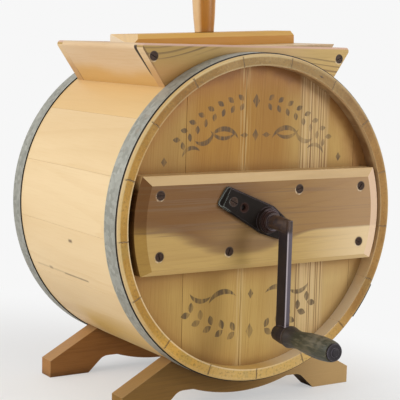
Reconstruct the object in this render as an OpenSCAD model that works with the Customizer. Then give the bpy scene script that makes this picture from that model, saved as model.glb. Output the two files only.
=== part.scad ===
// Wooden butter churn: a coopered drum on two cradles, with a hopper and a lid
// on top, and a crank that turns a slatted dasher inside.
// Every piece is drawn with the drum lying on its back, front head up:
// X is to the right, Y is up the standing churn, Z is towards its front.
// upright() then stands the piece on the floor.

/* [Drum] */
// Outside radius of the drum
drum_r = 174; // [155:1:195]
// Length of the staves, from rim to rim
drum_len = 249; // [230:1:290]
// Thickness of a stave
stave_t = 12.5; // [10:0.5:15]
// Angle of one joint between staves, seen from the front
first_joint = 142.5; // [132:0.5:153]
// Bevel on the outer edge of each rim
rim_bevel = 1.5; // [0.5:0.5:3]

/* [Heads] */
// Depth of a head's face below the rim
head_recess = 17.5; // [13:0.5:24]
// Thickness of a head
head_t = 13; // [10:0.5:18]
// Thickness of a head's edge, which sits in the staves' groove
head_lip = 7; // [4:0.5:9]
// Depth of the groove in the staves
croze = 4.5; // [2:0.5:6]
// Width of the bevel behind a head's edge
head_bevel = 12; // [6:1:20]
// Width of the head's right-hand edge board
edge_board_w = 33; // [24:1:45]
// Where the joint left of the middle lies
head_joint = -13; // [-30:1:-8]
// Gap between two head boards
head_seam = 0.3; // [0.1:0.1:0.6]

/* [Hoops] */
// Thickness of the hoop iron
hoop_t = 1.2; // [0.8:0.1:2]
// Width of the front hoop
front_hoop_w = 22.8; // [18:0.2:26]
// Width of the rear hoop
rear_hoop_w = 19; // [15:0.5:24]
// Distance of the front hoop from the rim
front_hoop_set = 3; // [1:0.5:6]
// Distance of the rear hoop from the rim
rear_hoop_set = 2; // [1:0.5:6]
// Length of the riveted lap
hoop_lap = 42; // [30:1:60]
// Direction of the lap, seen from the front
lap_turn = 318; // [310:1:330]
// Radius of a rivet's head
rivet_head_r = 3.6; // [2.5:0.1:5]
// Height of a rivet's head
rivet_head_h = 1.2; // [0.8:0.1:2]
// Radius of a rivet's shank
rivet_r = 2; // [1.5:0.1:2.4]

/* [Crossboards] */
// Height of a crossboard
cross_w = 101; // [90:1:120]
// Thickness of a crossboard
cross_t = 22.2; // [20:0.2:28]
// Gap between a crossboard's ends and the staves
cross_gap = 5.8; // [2:0.2:10]
// Depth of the bevel round a crossboard's face
cross_bevel = 3.7; // [2:0.1:6]
// Width of the bevel at the ends
end_bevel_w = 12; // [6:0.5:18]
// Width of the bevel along the top
top_bevel_w = 9.5; // [4:0.5:14]
// Width of the bevel along the bottom
bottom_bevel_w = 5; // [2:0.5:12]
// Distance of the outer screws from the middle
outer_screw_x = 128; // [110:1:132]
// Distance of the inner screws from the middle
inner_screw_x = 44; // [32:1:60]
// Height of the screws above and below the middle
screw_y = 31; // [26:1:36]

/* [Screws] */
// Radius of a large screw's head
screw_head_r = 4.5; // [3.5:0.1:6]
// Radius of a large screw's shank
screw_r = 2.2; // [1.6:0.1:3]
// How far a large screw bites into the board behind
screw_bite = 9; // [5:0.5:9.5]
// How deep a screw's head sits in the wood
screw_sunk = 0.5; // [0.2:0.1:1]
// Radius of a small screw's head
small_head_r = 3.2; // [2.6:0.1:4]
// Radius of a small screw's shank
small_r = 1.5; // [1:0.1:2]

/* [Hopper] */
// How far the hopper's rim stands above the drum
hopper_rise = 7.7; // [5:0.1:14]
// Angle round the drum from the hopper's middle to the foot of a side board's inner face
throat_reach = 32.9; // [31.5:0.1:35.5]
// Lean of the side boards
flare = 35; // [30:0.5:40]
// Thickness of the hopper's boards
hopper_t = 12.7; // [10:0.1:15]
// Gap between the hopper and the front hoop
hopper_gap = 1.2; // [0.6:0.1:3]
// Sideways place of the hopper on the drum
hopper_shift = -2.5; // [-5:0.5:5]
// Rounding of the hopper's top corners
hopper_corner = 4; // [1:0.5:7]
// Depth of the corner screws below the rim
hopper_screw_drop = 12.7; // [10:0.1:18]
// How far a corner screw bites into a side board
hopper_screw_bite = 18; // [12:1:25]

/* [Lid] */
// Thickness of the lid boards
lid_t = 12.7; // [10:0.1:15]
// Gap round the lid
lid_gap = 0.5; // [0.4:0.1:1.5]
// Lean of the lid, right end up
lid_tilt = 2.5; // [0:0.5:3]
// Depth of the lid's middle below the hopper's rim
lid_drop = 1.4; // [0:0.1:4]
// Length of the cleat on the lid
cleat_len = 214; // [180:1:216]
// Width of the cleat
cleat_w = 48; // [40:1:70]
// Thickness of the cleat
cleat_t = 14.2; // [10:0.1:16]
// Bevel along the cleat's front edge
cleat_bevel = 6.5; // [3:0.5:8]
// Bevel along the cleat's back edge
cleat_back_bevel = 1.5; // [0.5:0.5:8]
// How far the sawn corner runs along the front edge's bevel
cleat_corner = 11.5; // [4:0.5:16]
// Height at which the sawn corner starts
cleat_heel = 2; // [0.5:0.5:6]
// Sideways place of the cleat on the lid
cleat_shift = 3; // [-4:0.5:5]
// Place of the cleat towards the back
cleat_back = 5; // [0:1:20]
// Radius of the handle at the cleat
handle_foot_r = 10.8; // [8.5:0.1:12]
// Largest radius of the handle
handle_r = 13.5; // [12:0.5:17]
// Height of the handle above the cleat
handle_h = 84; // [60:1:110]
// Radius of the handle's tenon
tenon_r = 6; // [4:0.5:7]

/* [Cradles] */
// Thickness of a cradle
cradle_t = 22.2; // [18:0.2:26]
// Half of a cradle's length
cradle_half = 148; // [135:1:160]
// Thickness of a cradle under the drum
web_t = 20; // [15:0.5:26]
// Height of the middle of the arch above the floor
arch_h = 8; // [5:0.5:14]
// Height of a cradle's ends
cradle_end_h = 19; // [14:0.5:26]
// Slope of the shoulders
shoulder = 29; // [25:0.5:33]
// Length of a foot along the floor
foot_len = 49; // [40:1:60]
// How far the arch's corners rise above its middle
arch_corner_rise = 10; // [7:0.5:13]
// Slope from a foot up to the arch
foot_slope = 43; // [38:1:60]
// Rounding of the arch's corners
arch_corner_r = 15; // [8:1:18]
// Gap between a cradle and the hoop beside it
cradle_gap = 5; // [2:0.5:10]

/* [Bracket] */
// Direction of the plate's long arm
plate_turn = 153.4; // [145:0.2:160]
// Reach of the plate's long arm
plate_reach = 63; // [58:1:66]
// Thickness of the plate
plate_t = 5; // [4:0.5:7]
// Bevel round the plate's face
plate_bevel = 1.2; // [0.8:0.1:2]
// Radius of the plate round the shaft
plate_hub_r = 16; // [15:0.5:19]
// Radius of the plate's short end
plate_tail_r = 12; // [10:0.5:13]
// Reach of the plate's short end
plate_tail = 20; // [20:1:28]
// Radius of the corners at the plate's long end
plate_corner_r = 4; // [2:0.5:5]
// Distance of those corners' centres from the plate's own middle line
plate_end_half = 7.5; // [6:0.5:9]
// How much shorter the long end is at its lower corner
plate_end_slant = 1.5; // [0:0.5:3]
// How far the plate's middle line lies below the screws
plate_sag = 0.8; // [0:0.1:1.5]
// Length of the steep bevel at the plate's long end
plate_nose = 5; // [3:0.5:7]
// Slope of the steep bevel
plate_nose_slope = 32; // [20:1:40]
// Place of the upper screw along the plate
plate_screw = 48.4; // [46:0.2:50]
// Place of the lower screw along the plate's short end
plate_tail_screw = 24; // [23:0.2:27]
// How far the plate's screws bite into the crossboard
plate_screw_bite = 16; // [12:1:17]
// Place of the spare hole along the plate
plate_spare = 33.4; // [30:0.2:35]
// Radius of a screw head on the plate
plate_head_r = 5; // [4:0.1:5.5]
// Radius of the spare hole
spare_r = 3; // [2.5:0.1:3.5]
// Radius of the boss at its root
boss_r = 14.3; // [13:0.1:16]
// Taper of the boss up to its step
boss_taper = 1; // [0.5:0.5:2]
// Radius of the boss at its step
boss_step_r = 11.5; // [10.5:0.1:12.5]
// Height of the boss below its step
boss_h = 4.5; // [3:0.5:7]
// Height of the step
boss_step_h = 3; // [2:0.5:5]
// Radius of the sleeve behind the plate
sleeve_r = 11; // [10.5:0.1:12.5]
// How far the sleeve stands out inside the drum
sleeve_proud = 1.5; // [0.5:0.5:3]

/* [Crank] */
// Radius of the shaft
shaft_r = 7.5; // [6.5:0.1:8.5]
// Gap between a shaft and the hole that it turns in
run_gap = 0.08; // [0.05:0.01:0.1]
// End gap of what turns
end_gap = 0.3; // [0.2:0.05:0.6]
// Radius of the crank's collar
collar_r = 9.5; // [9:0.1:11]
// Thickness of the crank's collar
collar_t = 3.5; // [2:0.5:6]
// Distance from the crank's collar to its arm
neck_len = 12.6; // [10:0.2:20]
// How far the round shaft runs out into the arm, and starts to before it
neck_run = 5; // [4:0.5:7]
// Radius from the shaft to the grip
crank_throw = 115; // [95:1:125]
// Thickness of the arm
arm_t = 6.2; // [5:0.1:9]
// Depth of the arm
arm_w = 17.4; // [14:0.2:22]
// Easing of the arm's long edges
arm_ease = 1; // [0.5:0.1:2]
// Height of the arm's top above the shaft
arm_top = 5; // [4:0.5:10]
// Radius of the eye where it meets the arm's back
eye_back_r = 8; // [7:0.1:9.5]
// Radius of the eye at the grip
eye_r = 10; // [9.6:0.1:12]
// How far the eye stands out in front of the arm
eye_proud = 2.3; // [1:0.1:6]
// Width of the shaft's square end
square_w = 10.4; // [8:0.2:11]
// Length of the shaft's square end
square_len = 24; // [20:0.5:26]

/* [Grip] */
// Length of the grip
grip_len = 75; // [60:1:95]
// Radius of the grip's back end
grip_back_r = 11.6; // [10.5:0.1:13]
// Radius of the grip's waist
grip_waist_r = 9.4; // [8.5:0.1:11]
// Largest radius of the grip
grip_r = 12; // [11:0.1:14]
// Radius of the pin through the grip
pin_r = 3.5; // [2.5:0.1:4.5]
// Radius of the washer
washer_r = 9; // [7:0.1:10]
// Thickness of the washer
washer_t = 1.6; // [1:0.1:3]
// Height of the pin's head
pin_head_h = 1.8; // [1:0.1:3]

/* [Dasher] */
// Gap between the dasher and the staves
dasher_clear = 13.5; // [9:0.5:20]
// How much shorter the dasher is than the throat, at each end
dasher_short = 4.8; // [2:0.2:8]
// Width of the dasher's bar
bar_w = 30; // [27:1:36]
// Chamfer along the bar
bar_chamfer = 5; // [2:0.5:7]
// Thickness of the arms and slats
slat_t = 12; // [8:0.5:14]
// Width of a slat
slat_w = 30; // [24:1:34]
// Gap between two slats
slat_gap = 18; // [10:1:26]
// Width of an arm
dasher_arm_w = 22; // [16:1:26]
// Distance of the arms from the middle
dasher_arm_z = 40; // [34:1:42]
// Radius of the holes in the slats
slat_hole_r = 7; // [4:0.5:9]
// Radius of the spacer on the shaft
spacer_r = 12; // [10.5:0.5:14]
// Radius of the locking pin
lock_r = 2.5; // [2:0.1:3]
// Length of the locking pin's head
lock_head = 6; // [4:0.5:9]
// How far the locking pin stands out on the other side
lock_proud = 1; // [0.5:0.5:2]
// Radius of the pivot at the rear
pivot_r = 6; // [5:0.1:7]
// How far the pivot reaches into the bar
pivot_bite = 10; // [6:0.5:12]
// Length of the pivot in the head and crossboard
pivot_tail = 30; // [24:1:33]
// Radius of the pivot's flange
flange_r = 18; // [16:0.5:22]
// Thickness of the pivot's flange
flange_t = 3; // [2:0.5:5]

/* [Hidden] */

// Fine enough that every round part carries over as a true curve
$fn = 96;
// Overshoot of a cut past the face that it opens
cut = 1;
stave_count = 17;
stave_angle = 360 / stave_count;
head_board_count = 5;
lid_screw_x = 80;
lid_screw_z = 15;
// A drilled hole is this much wider than the shank in it
drill_gap = 0.1;
// Overlap of two shapes that are one piece
weld = 0.01;
// A rivet's foot stays this far off the drum
rivet_gap = 0.1;
// A screw's head in a curved face is sunk this much deeper
curve_sunk = 1;
// Turn of a screw's slot from one screw to the next
slot_turn = 50;
// Width of the flat ring of the grip's end round the washer
grip_lip = 0.3;

// Drum
half_len = drum_len / 2;
inner_r = drum_r - stave_t;
head_r = inner_r + croze;
head_face = half_len - head_recess;
head_back = head_face - head_t;
// Two boards of one width fill the head between the joint and the edge board
head_board_w = (head_r - edge_board_w - head_joint) / 2;

// Crossboards
cross_face = head_face + cross_t;
cross_end_r = inner_r - cross_gap;

// Hoops
front_hoop_z = half_len - front_hoop_set - front_hoop_w;
rear_hoop_z = -half_len + rear_hoop_set;
lap_angle = hoop_lap / drum_r * 180 / PI;

// Hopper
rim_y = drum_r + hopper_rise;
hopper_z = front_hoop_z - hopper_gap;
throat_z = hopper_z - hopper_t;
slant_t = hopper_t / cos(flare);
// The side boards stand on the drum at the throat and lean out from there to the rim
mouth_half = drum_r * sin(throat_reach) + (rim_y - drum_r * cos(throat_reach)) * tan(flare);
hopper_half = mouth_half + slant_t;
hopper_screw_x = hopper_half - slant_t / 2 - hopper_screw_drop * tan(flare);
throat_middle = 90 - asin(hopper_shift / drum_r);
// Low enough that every hopper board runs into the drum before it is cut to it
hopper_low = drum_r * 0.6;

// Lid
tilt_room = lid_t * sin(lid_tilt);
lid_half = mouth_half - lid_drop * tan(flare) - lid_gap - tilt_room;
lid_shift = lid_half * sin(lid_tilt) * tan(flare);
lid_z = throat_z - lid_gap;

// Cradles
axis_up = drum_r + web_t + arch_h;
floor_y = -axis_up;
arch_r = drum_r + web_t;
arch_top_y = floor_y + arch_h + arch_corner_rise;
foot_in = cradle_half - foot_len;
arch_top_x = foot_in - (arch_top_y - floor_y) / tan(foot_slope);
front_cradle_z = front_hoop_z - cradle_gap - cradle_t;
rear_cradle_z = rear_hoop_z + rear_hoop_w + cradle_gap;
bottom_joint = first_joint + stave_angle * round((270 - first_joint) / stave_angle);

// Bracket and crank
plate_face = cross_face + plate_t;
boss_face = plate_face + boss_h + boss_step_h;
collar_z = boss_face + end_gap;
arm_back = collar_z + collar_t + neck_len;
arm_face = arm_back + arm_w;
eye_face = arm_face + eye_proud;
eye_taper = arm_w * 0.7;
grip_z = eye_face + end_gap;
washer_z = grip_z + grip_len + end_gap;
front_reach = washer_z + washer_t + pin_head_h;
sleeve_end = head_back - sleeve_proud;

// Dasher
dasher_half = throat_z - dasher_short;
dasher_r = inner_r - dasher_clear;
outer_slat_y = dasher_r - slat_w / 2;
inner_slat_y = outer_slat_y - slat_w - slat_gap;
socket_gap = 0.1;
socket_w = square_w + 2 * socket_gap;
spacer_len = sleeve_end - end_gap - dasher_half;
pivot_front = head_back - flange_t;

// The middle of the churn's whole length stands over the origin
drum_y = (front_reach - cross_face) / 2;

pale_wood = [0.87, 0.76, 0.58];
head_wood = [0.80, 0.64, 0.40];
board_wood = [0.74, 0.56, 0.34];
pink_wood = [0.80, 0.63, 0.47];
orange_wood = [0.82, 0.58, 0.32];
red_wood = [0.62, 0.42, 0.26];
grey_wood = [0.45, 0.44, 0.36];
zinc = [0.58, 0.61, 0.63];
dark_iron = [0.20, 0.17, 0.17];
blue_iron = [0.24, 0.26, 0.30];

function joint_angle(n) = first_joint + n * stave_angle;

// Angle from the hopper's middle at which a leaning plane meets the drum
function seat_angle(half) = flare + asin((half * cos(flare) - rim_y * sin(flare)) / drum_r);

// True where both edges of stave n lie inside the middle of the side boards' feet
function in_throat(n) =
    let (reach = seat_angle(hopper_half - slant_t / 2))
    min(cos(joint_angle(n - 1) - throat_middle), cos(joint_angle(n) - throat_middle)) >= cos(reach);

// Points on an arc about c, from angle a to angle b
function bend(c, r, a, b, steps = 8) =
    [for (i = [0:steps]) c + r * [cos(a + (b - a) * i / steps), sin(a + (b - a) * i / steps)]];

// A smooth curve through the points p, with four spans between two points
function curve_point(a, b, c, d, t) =
    0.5 * (2 * b + (c - a) * t + (2 * a - 5 * b + 4 * c - d) * t * t + (3 * b - a - 3 * c + d) * t * t * t);
function smooth(p) = [
    for (i = [0:len(p) - 2], t = [0:0.25:0.75])
        curve_point(p[max(i - 1, 0)], p[i], p[i + 1], p[min(i + 2, len(p) - 1)], t),
    p[len(p) - 1]
];

module upright() {
    translate([0, drum_y, axis_up])
        rotate([90, 0, 0])
            children();
}

// A slotted wood screw, its head at the origin and its point down
module wood_screw(head_r, shank_r, long) {
    sink = head_r - shank_r;
    difference() {
        union() {
            translate([0, 0, -sink]) cylinder(h = sink, r1 = shank_r, r2 = head_r);
            translate([0, 0, -long + 2 * shank_r]) cylinder(h = long - 2 * shank_r - sink, r = shank_r);
            translate([0, 0, -long]) cylinder(h = 2 * shank_r, r1 = shank_r / 4, r2 = shank_r);
        }
        translate([-head_r, -head_r * 0.12, -sink * 0.5]) cube([2 * head_r, head_r * 0.24, sink]);
    }
}

module wood_screw_hole(head_r, shank_r, long) {
    sink = head_r - shank_r;
    translate([0, 0, -sink]) cylinder(h = sink, r1 = shank_r, r2 = head_r);
    translate([0, 0, -long]) cylinder(h = long, r = shank_r + drill_gap);
    cylinder(h = screw_sunk + cut, r = head_r + drill_gap);
}

// A stave's section, radius by length, with a groove for each head
module stave_section() {
    polygon([
        [inner_r, -half_len],
        [drum_r - rim_bevel, -half_len],
        [drum_r, -half_len + rim_bevel],
        [drum_r, half_len - rim_bevel],
        [drum_r - rim_bevel, half_len],
        [inner_r, half_len],
        [inner_r, head_face],
        [head_r, head_face],
        [head_r, head_face - head_lip],
        [inner_r, head_face - head_lip],
        [inner_r, -head_face + head_lip],
        [head_r, -head_face + head_lip],
        [head_r, -head_face],
        [inner_r, -head_face]
    ]);
}

module stave(n) {
    color(pale_wood) upright() difference() {
        rotate([0, 0, joint_angle(n - 1)])
            rotate_extrude(angle = stave_angle, $fn = 180)
                stave_section();
        if (in_throat(n))
            cube([3 * drum_r, 3 * drum_r, 2 * throat_z], center = true);
        at_cradle_screws() wood_screw_hole(screw_head_r, screw_r, cradle_screw_len());
    }
}

module hoop(back_z, wide) {
    color(zinc) upright() difference() {
        union() {
            rotate_extrude($fn = 180)
                translate([drum_r, back_z]) square([hoop_t, wide]);
            rotate([0, 0, lap_turn])
                rotate_extrude(angle = lap_angle, $fn = 180)
                    translate([drum_r + hoop_t - weld, back_z]) square([hoop_t + weld, wide]);
        }
        at_rivets(back_z, wide) cylinder(h = 4 * hoop_t, r = rivet_r, center = true);
    }
}

// Two rivets across the lap, each drawn with its foot on the drum
module at_rivets(back_z, wide) {
    for (share = [0.28, 0.72])
        rotate([0, 0, lap_turn + lap_angle * share])
            translate([drum_r, 0, back_z + wide / 2])
                rotate([0, 90, 0])
                    children();
}

module rivet() {
    translate([0, 0, rivet_gap]) cylinder(h = 2 * hoop_t, r = rivet_r);
    translate([0, 0, 2 * hoop_t + rivet_gap / 2])
        cylinder(h = rivet_head_h, r1 = rivet_head_r, r2 = rivet_head_r * 0.6);
}

module hoop_rivets() {
    color(zinc) upright() {
        at_rivets(front_hoop_z, front_hoop_w) rivet();
        at_rivets(rear_hoop_z, rear_hoop_w) rivet();
    }
}

// A whole head, face up at the height of the front one
module head_disc() {
    rotate_extrude($fn = 180)
        polygon([
            [0, head_back],
            [inner_r - head_bevel, head_back],
            [inner_r, head_face - head_lip],
            [head_r, head_face - head_lip],
            [head_r, head_face],
            [0, head_face]
        ]);
}

function board_edge(k) =
    k == 0 ? -head_r - cut : k == head_board_count ? head_r + cut : head_joint + (k - 2) * head_board_w;

module head_board(k) {
    intersection() {
        head_disc();
        translate([board_edge(k - 1) + head_seam / 2, -head_r - cut, head_back - cut])
            cube([board_edge(k) - board_edge(k - 1) - head_seam, 2 * head_r + 2 * cut, head_t + 2 * cut]);
    }
}

module front_head_board(k) {
    color(head_wood) upright() difference() {
        head_board(k);
        sleeve_hole();
        at_cross_screws() wood_screw_hole(screw_head_r, screw_r, cross_screw_len());
    }
}

module rear_head_board(k) {
    color(head_wood) upright() mirror([0, 0, 1]) difference() {
        head_board(k);
        pivot_tail_hole();
        at_cross_screws() wood_screw_hole(screw_head_r, screw_r, cross_screw_len());
        at_pivot_screws() wood_screw_hole(small_head_r, small_r, pivot_screw_len());
    }
}

function cross_screw_len() = cross_t - screw_sunk + screw_bite;

module at_cross_screws() {
    places = [
        [-outer_screw_x, screw_y], [outer_screw_x, screw_y],
        [-outer_screw_x, -screw_y], [outer_screw_x, -screw_y],
        [inner_screw_x, screw_y], [-inner_screw_x, -screw_y]
    ];
    for (i = [0:len(places) - 1])
        translate([places[i][0], places[i][1], cross_face - screw_sunk])
            rotate([0, 0, slot_turn * i])
                children();
}

module sleeve_hole() {
    translate([0, 0, sleeve_end - cut]) cylinder(h = cross_face - sleeve_end + 2 * cut, r = sleeve_r);
}

module pivot_tail_hole() {
    translate([0, 0, head_back - cut]) cylinder(h = pivot_tail + cut, r = pivot_r);
}

// A crossboard as it lies on the front head
module crossboard() {
    intersection() {
        translate([-cross_end_r, 0, head_face])
            rotate([90, 0, 90])
                linear_extrude(2 * cross_end_r)
                    polygon([
                        [-cross_w / 2, 0],
                        [cross_w / 2, 0],
                        [cross_w / 2, cross_t - cross_bevel],
                        [cross_w / 2 - top_bevel_w, cross_t],
                        [-cross_w / 2 + bottom_bevel_w, cross_t],
                        [-cross_w / 2, cross_t - cross_bevel]
                    ]);
        union() {
            translate([0, 0, head_face - cut])
                cylinder(h = cross_t - cross_bevel + cut, r = cross_end_r, $fn = 180);
            translate([0, 0, cross_face - cross_bevel])
                cylinder(h = cross_bevel, r1 = cross_end_r, r2 = cross_end_r - end_bevel_w, $fn = 180);
        }
    }
}

module front_crossboard() {
    color(board_wood) upright() difference() {
        crossboard();
        sleeve_hole();
        at_cross_screws() wood_screw_hole(screw_head_r, screw_r, cross_screw_len());
        at_plate_screws() wood_screw_hole(plate_head_r, screw_r, plate_screw_len());
    }
}

module rear_crossboard() {
    color(board_wood) upright() mirror([0, 0, 1]) difference() {
        crossboard();
        pivot_tail_hole();
        at_cross_screws() wood_screw_hole(screw_head_r, screw_r, cross_screw_len());
    }
}

module crossboard_screws() {
    color(dark_iron) upright()
        for (side = [0, 1])
            mirror([0, 0, side])
                at_cross_screws() wood_screw(screw_head_r, screw_r, cross_screw_len());
}

// A cradle's outline: shoulders, vertical ends and the blank of its arch
module cradle(back_z) {
    translate([0, 0, back_z]) difference() {
        linear_extrude(cradle_t)
            polygon([
                [-cradle_half, floor_y],
                [-cradle_half, floor_y + cradle_end_h],
                [0, floor_y + cradle_end_h + cradle_half * tan(shoulder)],
                [cradle_half, floor_y + cradle_end_h],
                [cradle_half, floor_y]
            ]);
        translate([0, 0, -cut]) cylinder(h = cradle_t + 2 * cut, r = drum_r, $fn = 180);
        translate([0, 0, -cut]) difference() {
            linear_extrude(cradle_t + 2 * cut) arch_blank();
            translate([0, 0, -cut]) cylinder(h = cradle_t + 4 * cut, r = arch_r, $fn = 180);
        }
    }
}

// What is sawn out between the feet, before the curve under the drum is left standing
module arch_blank() {
    below = floor_y - cut;
    fall = cut / tan(foot_slope);
    reach = arch_corner_r * tan(foot_slope / 2);
    c = [arch_top_x - reach, arch_top_y - arch_corner_r];
    right = bend(c, arch_corner_r, 90 - foot_slope, 90);
    left = [for (i = [len(right) - 1:-1:0]) [-right[i][0], right[i][1]]];
    polygon(concat([[foot_in + fall, below]], right, left, [[-foot_in - fall, below]]));
}

module front_cradle() {
    color(red_wood) upright() difference() {
        cradle(front_cradle_z);
        at_cradle_screws() wood_screw_hole(screw_head_r, screw_r, cradle_screw_len());
    }
}

module rear_cradle() {
    color(red_wood) upright() difference() {
        cradle(rear_cradle_z);
        at_cradle_screws() wood_screw_hole(screw_head_r, screw_r, cradle_screw_len());
    }
}

function cradle_screw_len() = web_t - screw_sunk - curve_sunk + screw_bite;

// Two screws in each cradle, each into the middle of a stave
module at_cradle_screws() {
    for (z = [front_cradle_z, rear_cradle_z], side = [-0.5, 0.5])
        rotate([0, 0, bottom_joint + side * stave_angle])
            translate([arch_r - screw_sunk - curve_sunk, 0, z + cradle_t / 2])
                rotate([0, 90, 0])
                    children();
}

module cradle_screws() {
    color(dark_iron) upright()
        at_cradle_screws() wood_screw(screw_head_r, screw_r, cradle_screw_len());
}

// The hopper's outline from the front, before it is cut to the drum
module hopper_outline() {
    lean = 90 - flare;
    inset = hopper_corner / tan(lean / 2);
    c = [hopper_half - inset, rim_y - hopper_corner];
    low_half = hopper_half - (rim_y - hopper_low) * tan(flare);
    right = bend(c, hopper_corner, -flare, 90);
    left = [for (i = [len(right) - 1:-1:0]) [-right[i][0], right[i][1]]];
    polygon(concat([[low_half, hopper_low]], right, left, [[-low_half, hopper_low]]));
}

// The space between the side boards
module hopper_inside() {
    low_half = mouth_half - (rim_y - hopper_low + cut) * tan(flare);
    high_half = mouth_half + cut * tan(flare);
    polygon([
        [-low_half, hopper_low - cut],
        [low_half, hopper_low - cut],
        [high_half, rim_y + cut],
        [-high_half, rim_y + cut]
    ]);
}

module hopper_end(back_z) {
    color(board_wood) upright() difference() {
        translate([hopper_shift, 0, back_z]) linear_extrude(hopper_t) hopper_outline();
        cylinder(h = 2 * drum_len, r = drum_r, center = true, $fn = 180);
        at_hopper_screws() wood_screw_hole(screw_head_r, screw_r, hopper_screw_len());
    }
}

module hopper_side(side) {
    color(pink_wood) upright() difference() {
        translate([hopper_shift, 0, -throat_z]) intersection() {
            difference() {
                linear_extrude(2 * throat_z) hopper_outline();
                translate([0, 0, -cut]) linear_extrude(2 * throat_z + 2 * cut) hopper_inside();
            }
            translate([side > 0 ? 0 : -2 * drum_r, 0, -cut])
                cube([2 * drum_r, 2 * drum_r, 2 * throat_z + 2 * cut]);
        }
        cylinder(h = 2 * drum_len, r = drum_r, center = true, $fn = 180);
        at_hopper_screws() wood_screw_hole(screw_head_r, screw_r, hopper_screw_len());
    }
}

function hopper_screw_len() = hopper_t - screw_sunk + hopper_screw_bite;

module at_hopper_screws() {
    for (back = [0, 1], side = [-1, 1])
        mirror([0, 0, back])
            translate([
                hopper_shift + side * hopper_screw_x,
                rim_y - hopper_screw_drop,
                hopper_z - screw_sunk
            ])
                rotate([0, 0, slot_turn * side / 2])
                    children();
}

module hopper_screws() {
    color(dark_iron) upright()
        at_hopper_screws() wood_screw(screw_head_r, screw_r, hopper_screw_len());
}

// The lid leans in the hopper's mouth: its origin is the middle of its upper face
module lid_place() {
    translate([hopper_shift + lid_shift, rim_y - lid_drop, 0])
        rotate([0, 0, lid_tilt])
            children();
}

module lid_board(side) {
    color(orange_wood) upright() lid_place() difference() {
        translate([0, 0, -lid_z])
            linear_extrude(2 * lid_z)
                polygon([
                    [side * head_seam / 2, 0],
                    [side * lid_half, 0],
                    [side * (lid_half - lid_t * tan(flare)), -lid_t],
                    [side * head_seam / 2, -lid_t]
                ]);
        at_lid_screws() wood_screw_hole(small_head_r, small_r, lid_screw_len());
        tenon_hole();
    }
}

module lid_cleat() {
    color(orange_wood) upright() lid_place() difference() {
        translate([cleat_shift - cleat_len / 2, 0, -cleat_back]) difference() {
            rotate([0, 90, 0]) linear_extrude(cleat_len) cleat_section();
            sawn_corner();
        }
        at_lid_screws() wood_screw_hole(small_head_r, small_r, lid_screw_len());
        tenon_hole();
    }
}

// The cleat from its end, front edge left: it stands up a little before it slopes in
module cleat_section() {
    polygon([
        [-cleat_w / 2, 0],
        [cleat_w / 2, 0],
        [cleat_w / 2, cleat_t - cleat_back_bevel],
        [cleat_w / 2 - cleat_back_bevel, cleat_t],
        [-cleat_w / 2 + cleat_bevel, cleat_t],
        [-cleat_w / 2, cleat_t - cleat_bevel * 0.75]
    ]);
}

// A slanting cut takes off the left end at the front and runs out at the back
module sawn_corner() {
    rise = cleat_t - cleat_heel;
    slant = cross([cleat_corner, rise, -cleat_bevel], [0, rise, -cleat_w]);
    translate([0, cleat_heel, cleat_w / 2])
        rotate([0, acos(slant[2] / norm(slant)), atan2(slant[1], slant[0])])
            translate([-cleat_w * 2, -cleat_w * 2, 0])
                cube([cleat_w * 4, cleat_w * 4, cleat_w]);
}

function lid_screw_len() = lid_t - screw_sunk + cleat_t * 0.6;

// Four screws come up through the lid boards into the cleat
module at_lid_screws() {
    for (x = [-lid_screw_x, lid_screw_x], z = [-lid_screw_z, lid_screw_z])
        translate([cleat_shift + x, -lid_t + screw_sunk, z - cleat_back])
            rotate([90, 0, 0])
                children();
}

module tenon_hole() {
    translate([cleat_shift, -lid_t / 2, -cleat_back])
        rotate([-90, 0, 0])
            cylinder(h = lid_t / 2 + cleat_t + cut, r = tenon_r);
}

// Drawn from the bottom of its tenon to the round end
module lid_handle() {
    side = smooth([
        [handle_foot_r, 0],
        [handle_foot_r * 1.03, handle_h * 0.07],
        [(handle_foot_r + handle_r) / 2, handle_h * 0.21],
        [handle_r * 0.97, handle_h * 0.45],
        [handle_r, handle_h * 0.66],
        [handle_r * 0.96, handle_h * 0.84],
        [handle_r * 0.72, handle_h * 0.95],
        [handle_r * 0.3, handle_h * 0.995],
        [0.01, handle_h]
    ]);
    color(orange_wood) upright() lid_place()
        translate([cleat_shift, cleat_t, -cleat_back])
            rotate([-90, 0, 0])
                rotate_extrude()
                    polygon(concat(
                        [[0, -cleat_t - lid_t / 2], [tenon_r, -cleat_t - lid_t / 2], [tenon_r, 0]],
                        side,
                        [[0, handle_h]]
                    ));
}

module lid_screws() {
    color(dark_iron) upright() lid_place()
        at_lid_screws() wood_screw(small_head_r, small_r, lid_screw_len());
}

// The plate's outline along its own length, the shaft at the origin
module plate_outline() {
    end_x = plate_reach - plate_corner_r;
    hull() {
        translate([end_x, plate_end_half - plate_sag]) circle(plate_corner_r, $fn = 32);
        translate([end_x - plate_end_slant, -plate_end_half - plate_sag]) circle(plate_corner_r, $fn = 32);
        translate([0, -plate_sag]) circle(plate_hub_r, $fn = 32);
        translate([-plate_tail, 0]) circle(plate_tail_r, $fn = 32);
    }
}

module at_plate_screws() {
    for (along = [plate_screw, -plate_tail_screw])
        rotate([0, 0, plate_turn])
            translate([along, 0, plate_face])
                children();
}

function plate_screw_len() = plate_t + plate_screw_bite;

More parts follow.
